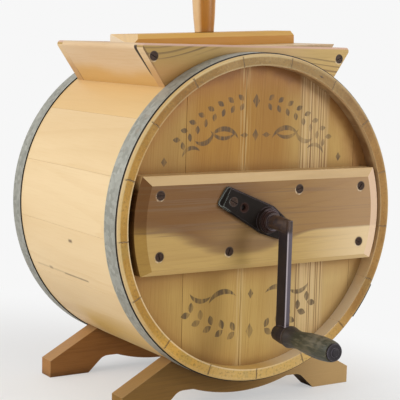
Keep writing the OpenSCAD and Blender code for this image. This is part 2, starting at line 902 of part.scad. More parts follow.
module crank_bracket() {
    color(blue_iron) upright() difference() {
        union() {
            translate([0, 0, cross_face]) rotate([0, 0, plate_turn]) plate();
            translate([0, 0, plate_face - cut])
                cylinder(h = boss_h + cut, r1 = boss_r, r2 = boss_r - boss_taper);
            translate([0, 0, plate_face]) cylinder(h = boss_h + boss_step_h, r = boss_step_r);
            translate([0, 0, sleeve_end]) cylinder(h = cross_face - sleeve_end + cut, r = sleeve_r);
        }
        translate([0, 0, sleeve_end - cut])
            cylinder(h = boss_face - sleeve_end + 2 * cut, r = shaft_r + run_gap);
        at_plate_screws() wood_screw_hole(plate_head_r, screw_r, plate_screw_len());
        rotate([0, 0, plate_turn]) translate([plate_spare, 0, cross_face - cut])
            cylinder(h = plate_t + 2 * cut, r = spare_r);
        rotate([0, 0, plate_turn]) translate([plate_spare, 0, plate_face - (plate_head_r - spare_r)])
            cylinder(h = plate_head_r - spare_r + weld, r1 = spare_r, r2 = plate_head_r);
    }
}

// The plate is bevelled all round, and more steeply at its long end
module plate() {
    difference() {
        hull() {
            linear_extrude(plate_t - plate_bevel) plate_outline();
            linear_extrude(plate_t) offset(delta = -plate_bevel) plate_outline();
        }
        translate([plate_reach - plate_nose, -2 * plate_hub_r, plate_t])
            rotate([0, plate_nose_slope, 0])
                cube([4 * plate_nose, 4 * plate_hub_r, 2 * plate_t]);
    }
}

module bracket_screws() {
    color(dark_iron) upright()
        at_plate_screws() wood_screw(plate_head_r, screw_r, plate_screw_len());
}

// Shaft, arm and eye are one casting
module crank() {
    color(dark_iron) upright() difference() {
        union() {
            translate([0, 0, dasher_half])
                cylinder(h = arm_back - neck_run * 0.6 - dasher_half, r = shaft_r);
            translate([-square_w / 2, -square_w / 2, dasher_half - square_len])
                cube([square_w, square_w, square_len + cut]);
            translate([0, 0, collar_z]) cylinder(h = collar_t, r = collar_r);
            shaft_shoulder();
            arm();
            translate([0, -crank_throw, arm_back]) cylinder(h = eye_taper, r1 = eye_back_r, r2 = eye_r);
            translate([0, -crank_throw, arm_back + eye_taper])
                cylinder(h = eye_face - arm_back - eye_taper, r = eye_r);
        }
        lock_hole();
        translate([0, -crank_throw, arm_back - cut]) cylinder(h = eye_face - arm_back + 2 * cut, r = pin_r);
    }
}

// The round shaft runs out into the flat arm
module shaft_shoulder() {
    hull() {
        translate([0, 0, arm_back - neck_run]) cylinder(h = neck_run * 0.4, r = shaft_r, $fn = 32);
        translate([-arm_t / 2, -shaft_r, arm_back + neck_run])
            cube([arm_t, shaft_r + arm_top, arm_w / 2]);
    }
}

// The arm's long edges are eased
module arm() {
    flat = arm_t / 2 - arm_ease;
    translate([0, arm_top, arm_back])
        rotate([90, 0, 0])
            linear_extrude(arm_top + crank_throw)
                polygon([
                    [-flat, 0], [flat, 0], [arm_t / 2, arm_ease],
                    [arm_t / 2, arm_w - arm_ease], [flat, arm_w],
                    [-flat, arm_w], [-arm_t / 2, arm_w - arm_ease], [-arm_t / 2, arm_ease]
                ]);
}

// A pin riveted into the eye, which the grip turns on
module grip_pin() {
    head_z = washer_z + washer_t;
    color(dark_iron) upright() translate([0, -crank_throw, 0]) {
        translate([0, 0, arm_back]) cylinder(h = head_z + pin_head_h / 2 - arm_back, r = pin_r);
        translate([0, 0, head_z]) cylinder(h = pin_head_h, r1 = pin_r * 1.5, r2 = pin_r);
    }
}

module grip_washer() {
    color(dark_iron) upright() translate([0, -crank_throw, washer_z]) difference() {
        cylinder(h = washer_t, r = washer_r);
        translate([0, 0, -cut]) cylinder(h = washer_t + 2 * cut, r = pin_r);
    }
}

module grip() {
    side = smooth([
        [eye_r, 0],
        [grip_back_r, grip_len * 0.04],
        [grip_waist_r + 0.6, grip_len * 0.16],
        [grip_waist_r, grip_len * 0.27],
        [grip_r * 0.93, grip_len * 0.48],
        [grip_r, grip_len * 0.72],
        [grip_r * 0.94, grip_len * 0.9],
        [grip_r * 0.86, grip_len * 0.98],
        [washer_r + grip_lip, grip_len]
    ]);
    color(grey_wood) upright() translate([0, -crank_throw, grip_z]) difference() {
        rotate_extrude() polygon(concat([[0, 0]], side, [[0, grip_len]]));
        translate([0, 0, -cut]) cylinder(h = grip_len + 2 * cut, r = pin_r + run_gap);
    }
}

// Iron pivot on the rear head: its flange is inside the drum
module rear_pivot() {
    color(dark_iron) upright() mirror([0, 0, 1]) difference() {
        union() {
            translate([0, 0, dasher_half - pivot_bite])
                cylinder(h = head_back - dasher_half + pivot_bite + pivot_tail, r = pivot_r);
            translate([0, 0, pivot_front]) cylinder(h = flange_t, r = flange_r);
        }
        at_pivot_screws() wood_screw_hole(small_head_r, small_r, pivot_screw_len());
    }
}

function pivot_screw_len() = flange_t + head_t * 0.7;

module at_pivot_screws() {
    for (side = [-1, 1])
        translate([side * (pivot_r + flange_r) / 2, 0, pivot_front])
            rotate([180, 0, 0])
                children();
}

module pivot_screws() {
    color(dark_iron) upright() mirror([0, 0, 1])
        at_pivot_screws() wood_screw(small_head_r, small_r, pivot_screw_len());
}

// Chamfered bar, with a square socket in front, a round hole behind and two mortises
module dasher_bar() {
    w = bar_w / 2;
    c = w - bar_chamfer;
    color(pale_wood) upright() difference() {
        translate([0, 0, -dasher_half])
            linear_extrude(2 * dasher_half)
                polygon([[w, -c], [w, c], [c, w], [-c, w], [-w, c], [-w, -c], [-c, -w], [c, -w]]);
        translate([-socket_w / 2, -socket_w / 2, dasher_half - square_len - socket_gap])
            cube([socket_w, socket_w, square_len + cut]);
        translate([0, 0, -dasher_half - cut]) cylinder(h = pivot_bite + 2 * cut, r = pivot_r + run_gap);
        at_dasher_arms() cube([slat_t, 2 * bar_w, dasher_arm_w], center = true);
        lock_hole();
    }
}

module at_dasher_arms() {
    for (z = [-dasher_arm_z, dasher_arm_z])
        translate([0, 0, z])
            children();
}

module at_slats(y) {
    for (side = [-1, 1])
        translate([0, side * y, 0])
            children();
}

// Each arm is halved where a slat crosses it
module dasher_arms() {
    color(pale_wood) upright() difference() {
        at_dasher_arms() cube([slat_t, 2 * dasher_r, dasher_arm_w], center = true);
        for (y = [outer_slat_y, inner_slat_y])
            at_slats(y)
                translate([0, -slat_w / 2, -dasher_half]) cube([slat_t, slat_w, 2 * dasher_half]);
    }
}

// A pair of slats, halved over the arms and bored to break up the cream
module slat_pair(y) {
    color(pale_wood) upright() difference() {
        at_slats(y) cube([slat_t, slat_w, 2 * dasher_half], center = true);
        at_dasher_arms()
            translate([-slat_t, -2 * dasher_r, -dasher_arm_w / 2])
                cube([slat_t, 4 * dasher_r, dasher_arm_w]);
        at_slats(y)
            for (z = [-1, 0, 1])
                translate([0, 0, z * (dasher_half + dasher_arm_z + dasher_arm_w / 2) / 2])
                    rotate([0, 90, 0])
                        cylinder(h = 2 * slat_t, r = slat_hole_r, center = true);
    }
}

module dasher_outer_slats() {
    slat_pair(outer_slat_y);
}

module dasher_inner_slats() {
    slat_pair(inner_slat_y);
}

// Keeps the dasher off the sleeve
module shaft_spacer() {
    color(pale_wood) upright() translate([0, 0, dasher_half]) difference() {
        cylinder(h = spacer_len, r = spacer_r);
        translate([0, 0, -cut]) cylinder(h = spacer_len + 2 * cut, r = shaft_r + run_gap);
    }
}

module lock_hole() {
    translate([0, 0, dasher_half - square_len / 2])
        rotate([0, 90, 0])
            cylinder(h = 2 * bar_w, r = lock_r, center = true);
}

// Drawn out by its head to free the crank from the dasher
module lock_pin() {
    color(dark_iron) upright() translate([0, 0, dasher_half - square_len / 2]) rotate([0, 90, 0]) {
        translate([0, 0, -bar_w / 2 - lock_proud]) cylinder(h = bar_w + 2 * lock_proud, r = lock_r);
        translate([0, 0, bar_w / 2]) cylinder(h = lock_head, r = lock_r * 1.8);
    }
}

stave(1);  // stave_01
stave(2);  // stave_02
stave(3);  // stave_03
stave(4);  // stave_04
stave(5);  // stave_05
stave(6);  // stave_06
stave(7);  // stave_07
stave(8);  // stave_08
stave(9);  // stave_09
stave(10);  // stave_10
stave(11);  // stave_11
stave(12);  // stave_12
stave(13);  // stave_13
stave(14);  // stave_14
stave(15);  // stave_15
stave(16);  // stave_16
stave(17);  // stave_17
hoop(front_hoop_z, front_hoop_w);  // front_hoop
hoop(rear_hoop_z, rear_hoop_w);  // rear_hoop
hoop_rivets();
front_head_board(1);  // front_head_board_1
front_head_board(2);  // front_head_board_2
front_head_board(3);  // front_head_board_3
front_head_board(4);  // front_head_board_4
front_head_board(5);  // front_head_board_5
rear_head_board(1);  // rear_head_board_1
rear_head_board(2);  // rear_head_board_2
rear_head_board(3);  // rear_head_board_3
rear_head_board(4);  // rear_head_board_4
rear_head_board(5);  // rear_head_board_5
front_crossboard();
rear_crossboard();
crossboard_screws();
front_cradle();
rear_cradle();
cradle_screws();
hopper_end(throat_z);  // hopper_front
hopper_end(-hopper_z);  // hopper_rear
hopper_side(-1);  // hopper_left
hopper_side(1);  // hopper_right
hopper_screws();
lid_board(-1);  // lid_board_left
lid_board(1);  // lid_board_right
lid_cleat();
lid_handle();
lid_screws();
crank_bracket();
bracket_screws();
rear_pivot();
pivot_screws();
crank();
grip_pin();
grip_washer();
grip();
dasher_bar();
dasher_arms();
dasher_outer_slats();
dasher_inner_slats();
shaft_spacer();
lock_pin();
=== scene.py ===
# %% [markdown]
# # A wooden butter churn
# The churn is a drum of staves between two hoops, lying on two sawn cradles.
# The CAD model already gives each board, hoop and screw its true size and place.
# This lesson gives each of them its wood or metal: the grain that runs the way the
# board was sawn, edges that hands have worn round, old dirt and painted shade in the
# corners, and painted light and shade on some faces.
# The first line loads the imported model, and everything else is built around it.

# %% Load the churn
import math
import random

import bpy
from mathutils import Matrix, Vector


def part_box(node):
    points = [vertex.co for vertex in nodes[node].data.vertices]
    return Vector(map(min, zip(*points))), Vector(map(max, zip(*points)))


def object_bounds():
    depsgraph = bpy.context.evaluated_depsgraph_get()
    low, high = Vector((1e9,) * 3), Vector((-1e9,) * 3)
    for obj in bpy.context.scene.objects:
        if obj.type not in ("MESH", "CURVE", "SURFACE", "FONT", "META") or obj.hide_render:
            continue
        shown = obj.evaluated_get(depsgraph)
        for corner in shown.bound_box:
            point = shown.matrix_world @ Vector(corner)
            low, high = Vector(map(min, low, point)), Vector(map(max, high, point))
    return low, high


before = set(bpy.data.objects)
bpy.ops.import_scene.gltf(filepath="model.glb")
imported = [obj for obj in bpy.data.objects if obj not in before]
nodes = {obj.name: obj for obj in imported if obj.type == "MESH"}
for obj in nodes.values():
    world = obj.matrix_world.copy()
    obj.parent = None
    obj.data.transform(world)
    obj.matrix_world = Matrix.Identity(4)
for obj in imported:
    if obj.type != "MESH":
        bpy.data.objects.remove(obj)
cad_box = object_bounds()
churn_size = cad_box[1] - cad_box[0]
print(f"{len(nodes)} pieces, {churn_size.x * 1000:.0f} x {churn_size.y * 1000:.0f} x {churn_size.z * 1000:.0f} mm")

# %% [markdown]
# Everything is placed from a few things that the frame tells: where the drum's axis
# lies, how big the drum is and where its front head is. Measuring them here means
# that the grain and the wear stay on the wood if the CAD model changes.

# %% Measure the drum
UP = Vector((0, 0, 1))
RIGHT = Vector((1, 0, 0))
BACK = Vector((0, 1, 0))
MM = 0.001


def middle(name):
    low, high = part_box(name)
    return (low + high) / 2


hoop_low, hoop_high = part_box("front_hoop")
rear_hoop_low, rear_hoop_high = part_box("rear_hoop")
axis_height = middle("shaft_spacer").z
drum_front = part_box("stave_02")[0].y
drum_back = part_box("stave_02")[1].y
drum_middle = Vector((0, (drum_front + drum_back) / 2, axis_height))
radii = {
    vertex.index: Vector((vertex.co.x, vertex.co.z - axis_height)).length
    for vertex in nodes["stave_02"].data.vertices
}
drum_radius = max(radii.values())
inner_radius = min(
    radii[vertex.index] for vertex in nodes["stave_02"].data.vertices if vertex.co.y < drum_front + 0.5 * MM)
print(f"rim from {inner_radius / MM:.1f} to {drum_radius / MM:.1f} mm, axis {axis_height / MM:.0f} mm up")

# %% [markdown]
# ## Camera and light
# The photograph was taken from the front left, a little above the drum, with a long
# lens. A camera matrix is built from its turn, its tilt and a slight lean, which is
# easier to read than three Euler angles.

# %% Camera
turn = math.radians(32.392)
tilt = math.radians(7.196)
lean = math.radians(1.487)
forward = Vector((math.sin(turn) * math.cos(tilt), math.cos(turn) * math.cos(tilt), -math.sin(tilt)))
level = Vector((math.cos(turn), -math.sin(turn), 0))
above = level.cross(forward)
across = level * math.cos(lean) + above * math.sin(lean)
upward = above * math.cos(lean) - level * math.sin(lean)

camera_data = bpy.data.cameras.new("photo_camera")
camera_data.sensor_width = 36
camera_data.lens = 115.22
camera = bpy.data.objects.new("photo_camera", camera_data)
camera.matrix_world = Matrix((across, upward, -forward)).transposed().to_4x4()
camera.location = (-0.7734, -1.1559, 0.3899)
bpy.context.scene.collection.objects.link(camera)
bpy.context.scene.camera = camera
bpy.context.scene.view_settings.view_transform = "Standard"
print(f"camera {camera.location.length:.2f} m from the origin")

# %% [markdown]
# A big soft lamp on the left makes the staves brighter than the head, as in the
# photograph. A weaker one, high in front on the right, lights the head: the rim
# throws its shadow along the upper edge of the recess, and the right-hand bevels
# shine. The world gives the rest, evenly. Cameras and metal see it as pale paper,
# while it lights the wood less than that.

# %% Light


def soft_lamp(name, place, size, watts):
    """A round soft lamp that looks at the drum."""
    data = bpy.data.lights.new(name, "AREA")
    data.shape = "DISK"
    data.size = size
    data.energy = watts
    lamp = bpy.data.objects.new(name, data)
    lamp.location = place
    lamp.rotation_euler = (drum_middle - lamp.location).to_track_quat("-Z", "Y").to_euler()
    bpy.context.scene.collection.objects.link(lamp)


soft_lamp("left_lamp", (-1.9, 0.25, 1.15), 1.4, 22)
soft_lamp("right_lamp", (1.10, -1.40, 0.65), 0.7, 12.5)

PAPER_WHITE = 0.93
world = bpy.data.worlds.new("studio")
bpy.context.scene.world = world
world.use_nodes = True
sky = world.node_tree.nodes["Background"]
sky.inputs["Color"].default_value = (1, 1, 1, 1)
seen = world.node_tree.nodes.new("ShaderNodeLightPath")
bright = world.node_tree.nodes.new("ShaderNodeMapRange")
bright.inputs["To Min"].default_value = 0.56
bright.inputs["To Max"].default_value = PAPER_WHITE
either = world.node_tree.nodes.new("ShaderNodeMath")
either.operation = "MAXIMUM"
world.node_tree.links.new(seen.outputs["Is Camera Ray"], either.inputs[0])
world.node_tree.links.new(seen.outputs["Is Glossy Ray"], either.inputs[1])
world.node_tree.links.new(either.outputs[0], bright.inputs["Value"])
world.node_tree.links.new(bright.outputs["Result"], sky.inputs["Strength"])
print("two lamps; world", round(bright.inputs["To Min"].default_value, 2))

# %% [markdown]
# ## Small helpers for node trees
# A material is a graph of nodes. These helpers add a node, add a piece of arithmetic
# and start a group, so that the effects below read as a few short lines each.

# %% Helpers


def add(tree, kind, **settings):
    """Adds a node, with its settings, and gives it back."""
    made = tree.nodes.new("ShaderNode" + kind)
    for name, value in settings.items():
        setattr(made, name, value)
    return made


def feed(tree, socket, value):
    """Joins an output to a socket, or sets the socket to a plain value."""
    if isinstance(value, bpy.types.NodeSocket):
        tree.links.new(value, socket)
    elif value is not None:
        socket.default_value = value


def sum_of(tree, operation, *values):
    """One Math node: MULTIPLY, ADD, POWER and so on."""
    made = add(tree, "Math", operation=operation)
    for socket, value in zip(made.inputs, values):
        feed(tree, socket, value)
    return made.outputs[0]


def vector_of(tree, operation, *values):
    """One Vector Math node. LENGTH and DOT_PRODUCT give a number."""
    made = add(tree, "VectorMath", operation=operation)
    for socket, value in zip(made.inputs, values):
        feed(tree, socket, value)
    return made.outputs["Value" if operation in ("LENGTH", "DOT_PRODUCT") else "Vector"]


def ramp(tree, value, low, high, to_low=0.0, to_high=1.0):
    """A soft step from to_low to to_high as value goes from low to high."""
    made = add(tree, "MapRange", interpolation_type="SMOOTHSTEP")
    for socket, number in zip(made.inputs, (value, low, high, to_low, to_high)):
        feed(tree, socket, number)
    return made.outputs["Result"]


def times(tree, first, *others):
    """Several masks multiplied together."""
    for other in others:
        first = sum_of(tree, "MULTIPLY", first, other)
    return first


def blend_of(tree, share, first, second, kind="MIX"):
    """Mixes two colours: share 0 gives the first, share 1 the second."""
    made = add(tree, "Mix", data_type="RGBA", blend_type=kind)
    feed(tree, made.inputs["Factor"], share)
    feed(tree, made.inputs[6], first)
    feed(tree, made.inputs[7], second)
    return made.outputs[2]


def cloud(tree, vector, scale, detail=2.0, rough=0.5):
    """Noise from about 0.2 to 0.8 over a vector."""
    made = add(tree, "TexNoise")
    feed(tree, made.inputs["Vector"], vector)
    made.inputs["Scale"].default_value = scale
    made.inputs["Detail"].default_value = detail
    made.inputs["Roughness"].default_value = rough
    return made.outputs["Fac"]


def stretched(tree, vector, x, y, z):
    """The vector with each axis scaled by itself."""
    return vector_of(tree, "MULTIPLY", vector, (x, y, z))


def axes_of(tree, vector):
    """The X, Y and Z of a vector, as three outputs."""
    made = add(tree, "SeparateXYZ")
    feed(tree, made.inputs[0], vector)
    return made.outputs


def turned_to(tree, direction, low, high):
    """0 to 1 where the surface faces a direction. It turns with the piece."""
    normal = add(tree, "TexCoord").outputs["Normal"]
    return ramp(tree, vector_of(tree, "DOT_PRODUCT", normal, tuple(direction)), low, high)


def start_group(name, takes, gives):
    """A node group whose inputs and outputs are named once, here."""
    group = bpy.data.node_groups.new(name, "ShaderNodeTree")
    for label, kind, value in takes:
        socket = group.interface.new_socket(label, in_out="INPUT", socket_type="NodeSocket" + kind)
        if value is not None:
            socket.default_value = value
    for label, kind in gives:
        group.interface.new_socket(label, in_out="OUTPUT", socket_type="NodeSocket" + kind)
    return group, group.nodes.new("NodeGroupInput").outputs, group.nodes.new("NodeGroupOutput").inputs


def place(tree, group, **values):
    """Puts a group in a tree. An underscore in a name stands for a space."""
    made = tree.nodes.new("ShaderNodeGroup")
    made.node_tree = group
    for name, value in values.items():
        feed(tree, made.inputs[name.replace("_", " ")], value)
    return made.outputs


print("helpers ready")

# %% [markdown]
# ## Growth rings
# A board is a slice of a tree. If the rings are worked out around the place where
# the tree's heart lay, one pattern gives straight lines on a board sawn through the
# heart, long arches on a board sawn beside it, and arcs on the end grain of both.
# The vector comes in board directions: X along the grain, Y across, Z out of the face.
# No two rings are alike, so a slow noise makes some of them faint and some strong.

# %% Growth rings group
rings, take, give = start_group(
    "growth_rings",
    [
        ("Vector", "Vector", None), ("Heart", "Vector", (0, 0, -0.2)), ("Spacing", "Float", 0.004),
        ("Wander", "Float", 0.006), ("Taper", "Float", 0.01), ("Seed", "Float", 0.0),
    ],
    [("Late Wood", "Float"), ("Fibre", "Float"), ("Broad", "Float"), ("Pores", "Float")],
)
seed_shift = add(rings, "CombineXYZ")
for i, factor in enumerate((0.37, 0.53, 0.71)):
    feed(rings, seed_shift.inputs[i], sum_of(rings, "MULTIPLY", take["Seed"], factor))
seeded = vector_of(rings, "ADD", take["Vector"], seed_shift.outputs[0])
slow = cloud(rings, stretched(rings, seeded, 2.2, 11, 11), 1, 1.5)
quick = cloud(rings, stretched(rings, seeded, 9, 60, 60), 1, 2)
from_heart = vector_of(rings, "SUBTRACT", take["Vector"], take["Heart"])
radius = vector_of(rings, "LENGTH", stretched(rings, from_heart, 0, 1, 1))
tapered = sum_of(rings, "MULTIPLY_ADD", axes_of(rings, take["Vector"])[0], take["Taper"], radius)
wander = sum_of(rings, "MULTIPLY", sum_of(rings, "SUBTRACT", slow, 0.5), take["Wander"])
small_wander = sum_of(rings, "MULTIPLY", sum_of(rings, "SUBTRACT", quick, 0.5), 0.0012)
strayed = sum_of(rings, "ADD", sum_of(rings, "ADD", tapered, wander), small_wander)
year = sum_of(rings, "DIVIDE", strayed, take["Spacing"])
uneven = add(rings, "TexNoise", noise_dimensions="1D")
feed(rings, uneven.inputs["W"], sum_of(rings, "ADD", year, take["Seed"]))
uneven.inputs["Scale"].default_value = 0.45
year = sum_of(rings, "MULTIPLY_ADD", uneven.outputs["Fac"], 1.6, year)
strong = add(rings, "TexNoise", noise_dimensions="1D")
feed(rings, strong.inputs["W"], sum_of(rings, "MULTIPLY_ADD", take["Seed"], 3.0, year))
strong.inputs["Scale"].default_value = 0.31
part = sum_of(rings, "FRACT", year)
late = times(rings, ramp(rings, part, 0.3, 0.88), ramp(rings, part, 0.93, 1.0, 1.0, 0.0))
faded = times(
    rings, ramp(rings, strong.outputs["Fac"], 0.35, 0.65, 0.15, 1.0),
    ramp(rings, cloud(rings, stretched(rings, seeded, 7, 45, 45), 1, 3), 0.3, 0.62, 0.3, 1.0),
)
feed(rings, give["Late Wood"], times(rings, late, faded))
feed(rings, give["Fibre"], cloud(rings, stretched(rings, seeded, 30, 800, 800), 1, 2, 0.6))
feed(rings, give["Broad"], cloud(rings, stretched(rings, seeded, 4, 22, 22), 1, 2))
feed(rings, give["Pores"], cloud(rings, stretched(rings, seeded, 90, 1500, 1500), 1, 1, 0.6))
print("growth_rings has", len(rings.nodes), "nodes")

# %% [markdown]
# ## Worn edges, old dirt and painted shade
# Hands and cloths wear the edges first. The Bevel node gives the normal that a
# rounded edge would have, and where it differs from the real one there is an edge.
# Old dirt and shade do the reverse and stay in the corners, which Ambient Occlusion
# finds; the second group darkens them, as old dirt and as painted shade.

# %% Worn edges, dirt and shade groups
worn, take, give = start_group(
    "worn_edges",
    [("Width", "Float", 0.0015), ("Wear", "Float", 1.0)],
    [("Edge", "Float")],
)
rounded = add(worn, "Bevel", samples=6)
feed(worn, rounded.inputs["Radius"], take["Width"])
plain = add(worn, "NewGeometry")
bend_of_edge = vector_of(worn, "DOT_PRODUCT", rounded.outputs[0], plain.outputs["Normal"])
patchy = cloud(worn, add(worn, "TexCoord").outputs["Object"], 60, 3)
worn_away = times(worn, ramp(worn, bend_of_edge, 0.99, 0.88), ramp(worn, patchy, 0.3, 0.6, 0.35, 1.0))
feed(worn, give["Edge"], times(worn, worn_away, take["Wear"]))

dirt_and_shade, take, give = start_group(
    "old_dirt_and_shade",
    [("Reach", "Float", 0.012), ("Amount", "Float", 1.0)],
    [("Dirt and Shade", "Float")],
)
shelter = add(dirt_and_shade, "AmbientOcclusion", samples=8)
feed(dirt_and_shade, shelter.inputs["Distance"], take["Reach"])
# Sheltered corners, where old dirt gathers and where shade is painted.
closed = ramp(dirt_and_shade, shelter.outputs["AO"], 0.95, 0.25)
smeared = cloud(dirt_and_shade, add(dirt_and_shade, "TexCoord").outputs["Object"], 35, 4)
feed(dirt_and_shade, give["Dirt and Shade"], times(dirt_and_shade, closed, ramp(dirt_and_shade, smeared, 0.2, 0.7, 0.5, 1.0), take["Amount"]))
print("worn_edges and old_dirt_and_shade ready")

# %% [markdown]
# ## One wood for every board
# The boards differ in colour, in ring spacing and in how they were sawn, but they
# are all the same kind of surface. So one function makes the material, and each
# board calls it with its own values. The board's directions go into a Mapping node,
# which turns places on the churn into places in that board. Old dull varnish
# reflects little, so the specular level is low and the colours stay deep.

# %% The wood material


def board_turn(along_grain, face):
    """The turn of a board whose grain and face point these ways."""
    grain = along_grain.normalized()
    side = face.cross(grain).normalized()
    return Matrix((grain, side, grain.cross(side))).transposed().to_euler()


def wood(
    name, along_grain, face, light, dark, heart=(0, 0.03, -0.25), spacing=0.0035, wander=0.008,
    taper=0.01, rings_show=0.6, fibre_show=0.35, broad_show=0.35, end_tint=(0.62, 0.56, 0.45), wear=0.35,
    worn_colour=(0.72, 0.52, 0.30), dirt_and_shade_colour=(0.10, 0.055, 0.025), dirt_and_shade_amount=0.8, reach=0.012,
    rough=0.5, coat=0.0, shine=0.3, origin=drum_middle, seed=0.0, relief=0.25,
):
    """A wood material, and the sockets that a board's own marks can be added to."""
    material = bpy.data.materials.new(name)
    material.use_nodes = True
    tree = material.node_tree
    shader = tree.nodes["Principled BSDF"]
    place_on_churn = add(tree, "TexCoord").outputs["Object"]
    in_board = add(tree, "Mapping", vector_type="TEXTURE")
    feed(tree, in_board.inputs["Vector"], place_on_churn)
    in_board.inputs["Location"].default_value = origin
    in_board.inputs["Rotation"].default_value = board_turn(along_grain, face)
    grain = place(
        tree, rings, Vector=in_board.outputs[0], Heart=heart, Spacing=spacing, Wander=wander,
        Taper=taper, Seed=seed,
    )
    colour = blend_of(tree, times(tree, grain["Late Wood"], rings_show), (*light, 1), (*dark, 1))
    colour = blend_of(tree, times(tree, ramp(tree, grain["Broad"], 0.35, 0.7), broad_show), colour, (*dark, 1))
    colour = blend_of(tree, times(tree, ramp(tree, grain["Fibre"], 0.45, 0.75), fibre_show), colour, (*dark, 1))
    grain_way = along_grain.normalized()
    on_end = sum_of(tree, "MAXIMUM", turned_to(tree, grain_way, 0.6, 0.95), turned_to(tree, -grain_way, 0.6, 0.95))
    colour = blend_of(tree, on_end, colour, (*end_tint, 1), "MULTIPLY")
    edge = place(tree, worn, Width=0.0016, Wear=wear)["Edge"]
    colour = blend_of(tree, edge, colour, (*worn_colour, 1))
    # Old dirt and painted shade in the corners that Ambient Occlusion finds.
    grime_and_shade = place(tree, dirt_and_shade, Reach=reach, Amount=dirt_and_shade_amount)["Dirt and Shade"]
    colour = blend_of(tree, grime_and_shade, colour, (*dirt_and_shade_colour, 1))
    feed(tree, shader.inputs["Base Color"], colour)
    roughness = sum_of(tree, "MULTIPLY_ADD", grain["Fibre"], 0.2, rough - 0.1)
    feed(tree, shader.inputs["Roughness"], sum_of(tree, "MULTIPLY_ADD", grime_and_shade, 0.15, roughness))
    shader.inputs["Specular IOR Level"].default_value = shine
    shader.inputs["Coat Weight"].default_value = coat
    shader.inputs["Coat Roughness"].default_value = 0.35
    height = sum_of(tree, "MULTIPLY_ADD", grain["Late Wood"], 0.6, times(tree, grain["Pores"], 0.5))
    bump = add(tree, "Bump")
    bump.inputs["Strength"].default_value = relief
    bump.inputs["Distance"].default_value = 0.0006
    feed(tree, bump.inputs["Height"], height)
    feed(tree, shader.inputs["Normal"], bump.outputs[0])
    return material, tree, shader, place_on_churn, in_board.outputs[0]


def give_finish(name, material):
    """Puts a material on every slot of a CAD node."""
    for slot in nodes[name].material_slots:
        slot.link = "OBJECT"
        slot.material = material


def over(tree, shader, share, colour, kind="MIX"):
    """Adds one more layer of colour over what the shader already has."""
    base = shader.inputs["Base Color"]
    feed(tree, base, blend_of(tree, share, base.links[0].from_socket, (*colour, 1), kind))


def from_axis(tree, spot):
    """Where a point lies seen from the front: across and up from the drum's axis."""
    return stretched(tree, vector_of(tree, "SUBTRACT", spot, tuple(drum_middle)), 1, 0, 1)


print("wood ready")

# %% [markdown]
# ## Eased edges
# No real board has an edge like a knife. A Weld modifier closes the seams that the
# model file leaves between faces, a Dissolve takes out the triangles that lie flat,
# and a Bevel rounds every sharp edge by a fraction of a millimetre. The angle limit
# is small, so that the shallow bevels of the crossboards keep crisp arrises.

# %% Ease the edges


def ease(name, width, segments=2, angle=13):
    """Rounds a node's sharp edges with modifiers, which leave the CAD mesh as it is."""
    piece = nodes[name]
    weld = piece.modifiers.new("close_seams", "WELD")
    weld.merge_threshold = 0.00001
    flat = piece.modifiers.new("clear_flats", "DECIMATE")
    flat.decimate_type = "DISSOLVE"
    flat.angle_limit = math.radians(0.4)
    bevel = piece.modifiers.new("ease_edges", "BEVEL")
    bevel.width = width
    bevel.segments = segments
    bevel.limit_method = "ANGLE"
    bevel.angle_limit = math.radians(angle)
    shade = piece.modifiers.new("even_shading", "WEIGHTED_NORMAL")
    shade.weight = 80
    shade.keep_sharp = False


EASED = {
    "stave": 0.35, "head_board": 0.4, "crossboard": 0.6, "cradle": 2.0, "hopper": 0.9,
    "lid": 0.8, "lid_cleat": 1.8, "dasher": 0.7, "crank": 0.6, "crank_bracket": 0.5,
    "rear_pivot": 0.4, "grip": 0.4, "hoop": 0.2, "screws": 0.1, "spacer": 0.3, "pin": 0.2,
    "rivets": 0.2,
}
for name in nodes:
    known = [word for word in EASED if word in name]
    best = "screws" if "screws" in known else max(known, key=len)
    ease(name, EASED[best] * MM, 3 if EASED[best] > 1 else 2)
print("eased", len(nodes), "pieces")

# %% [markdown]
# ## The staves
# White cedar, sawn and jointed, then bound by the hoops. Each stave came from its
# own board, so each has its own tone and its own grain. Its directions follow its
# place round the drum: the grain runs along the drum and the face points outwards.
# The rim's end grain has turned olive and is flecked, with a dark line in each joint,
# and painted highlights run along its edges on the left. Its inner wall is darker deep in
# the recess and at the upper right, with brown stain where water ran down from the
# hopper and with painted shade, and it is painted lighter at the lower right, as lit.
# Old dirt and painted shade follow each hoop, and the staves are painted golden with
# shade low at the front. The joints are found from the corners of each stave's own mesh.

# %% Staves
stave_names = [n for n in nodes if n.startswith("stave_")]
dice = random.Random(17)
STAVE_LIGHT = Vector((0.80, 0.60, 0.34))
STAVE_GOLD = Vector((0.72, 0.47, 0.19))
STAVE_DARK = Vector((0.64, 0.41, 0.17))
GOLDEN_STAVES = {"stave_17": 0.85, "stave_01": 0.15, "stave_14": 0.5, "stave_16": 0.45, "stave_05": 0.25}


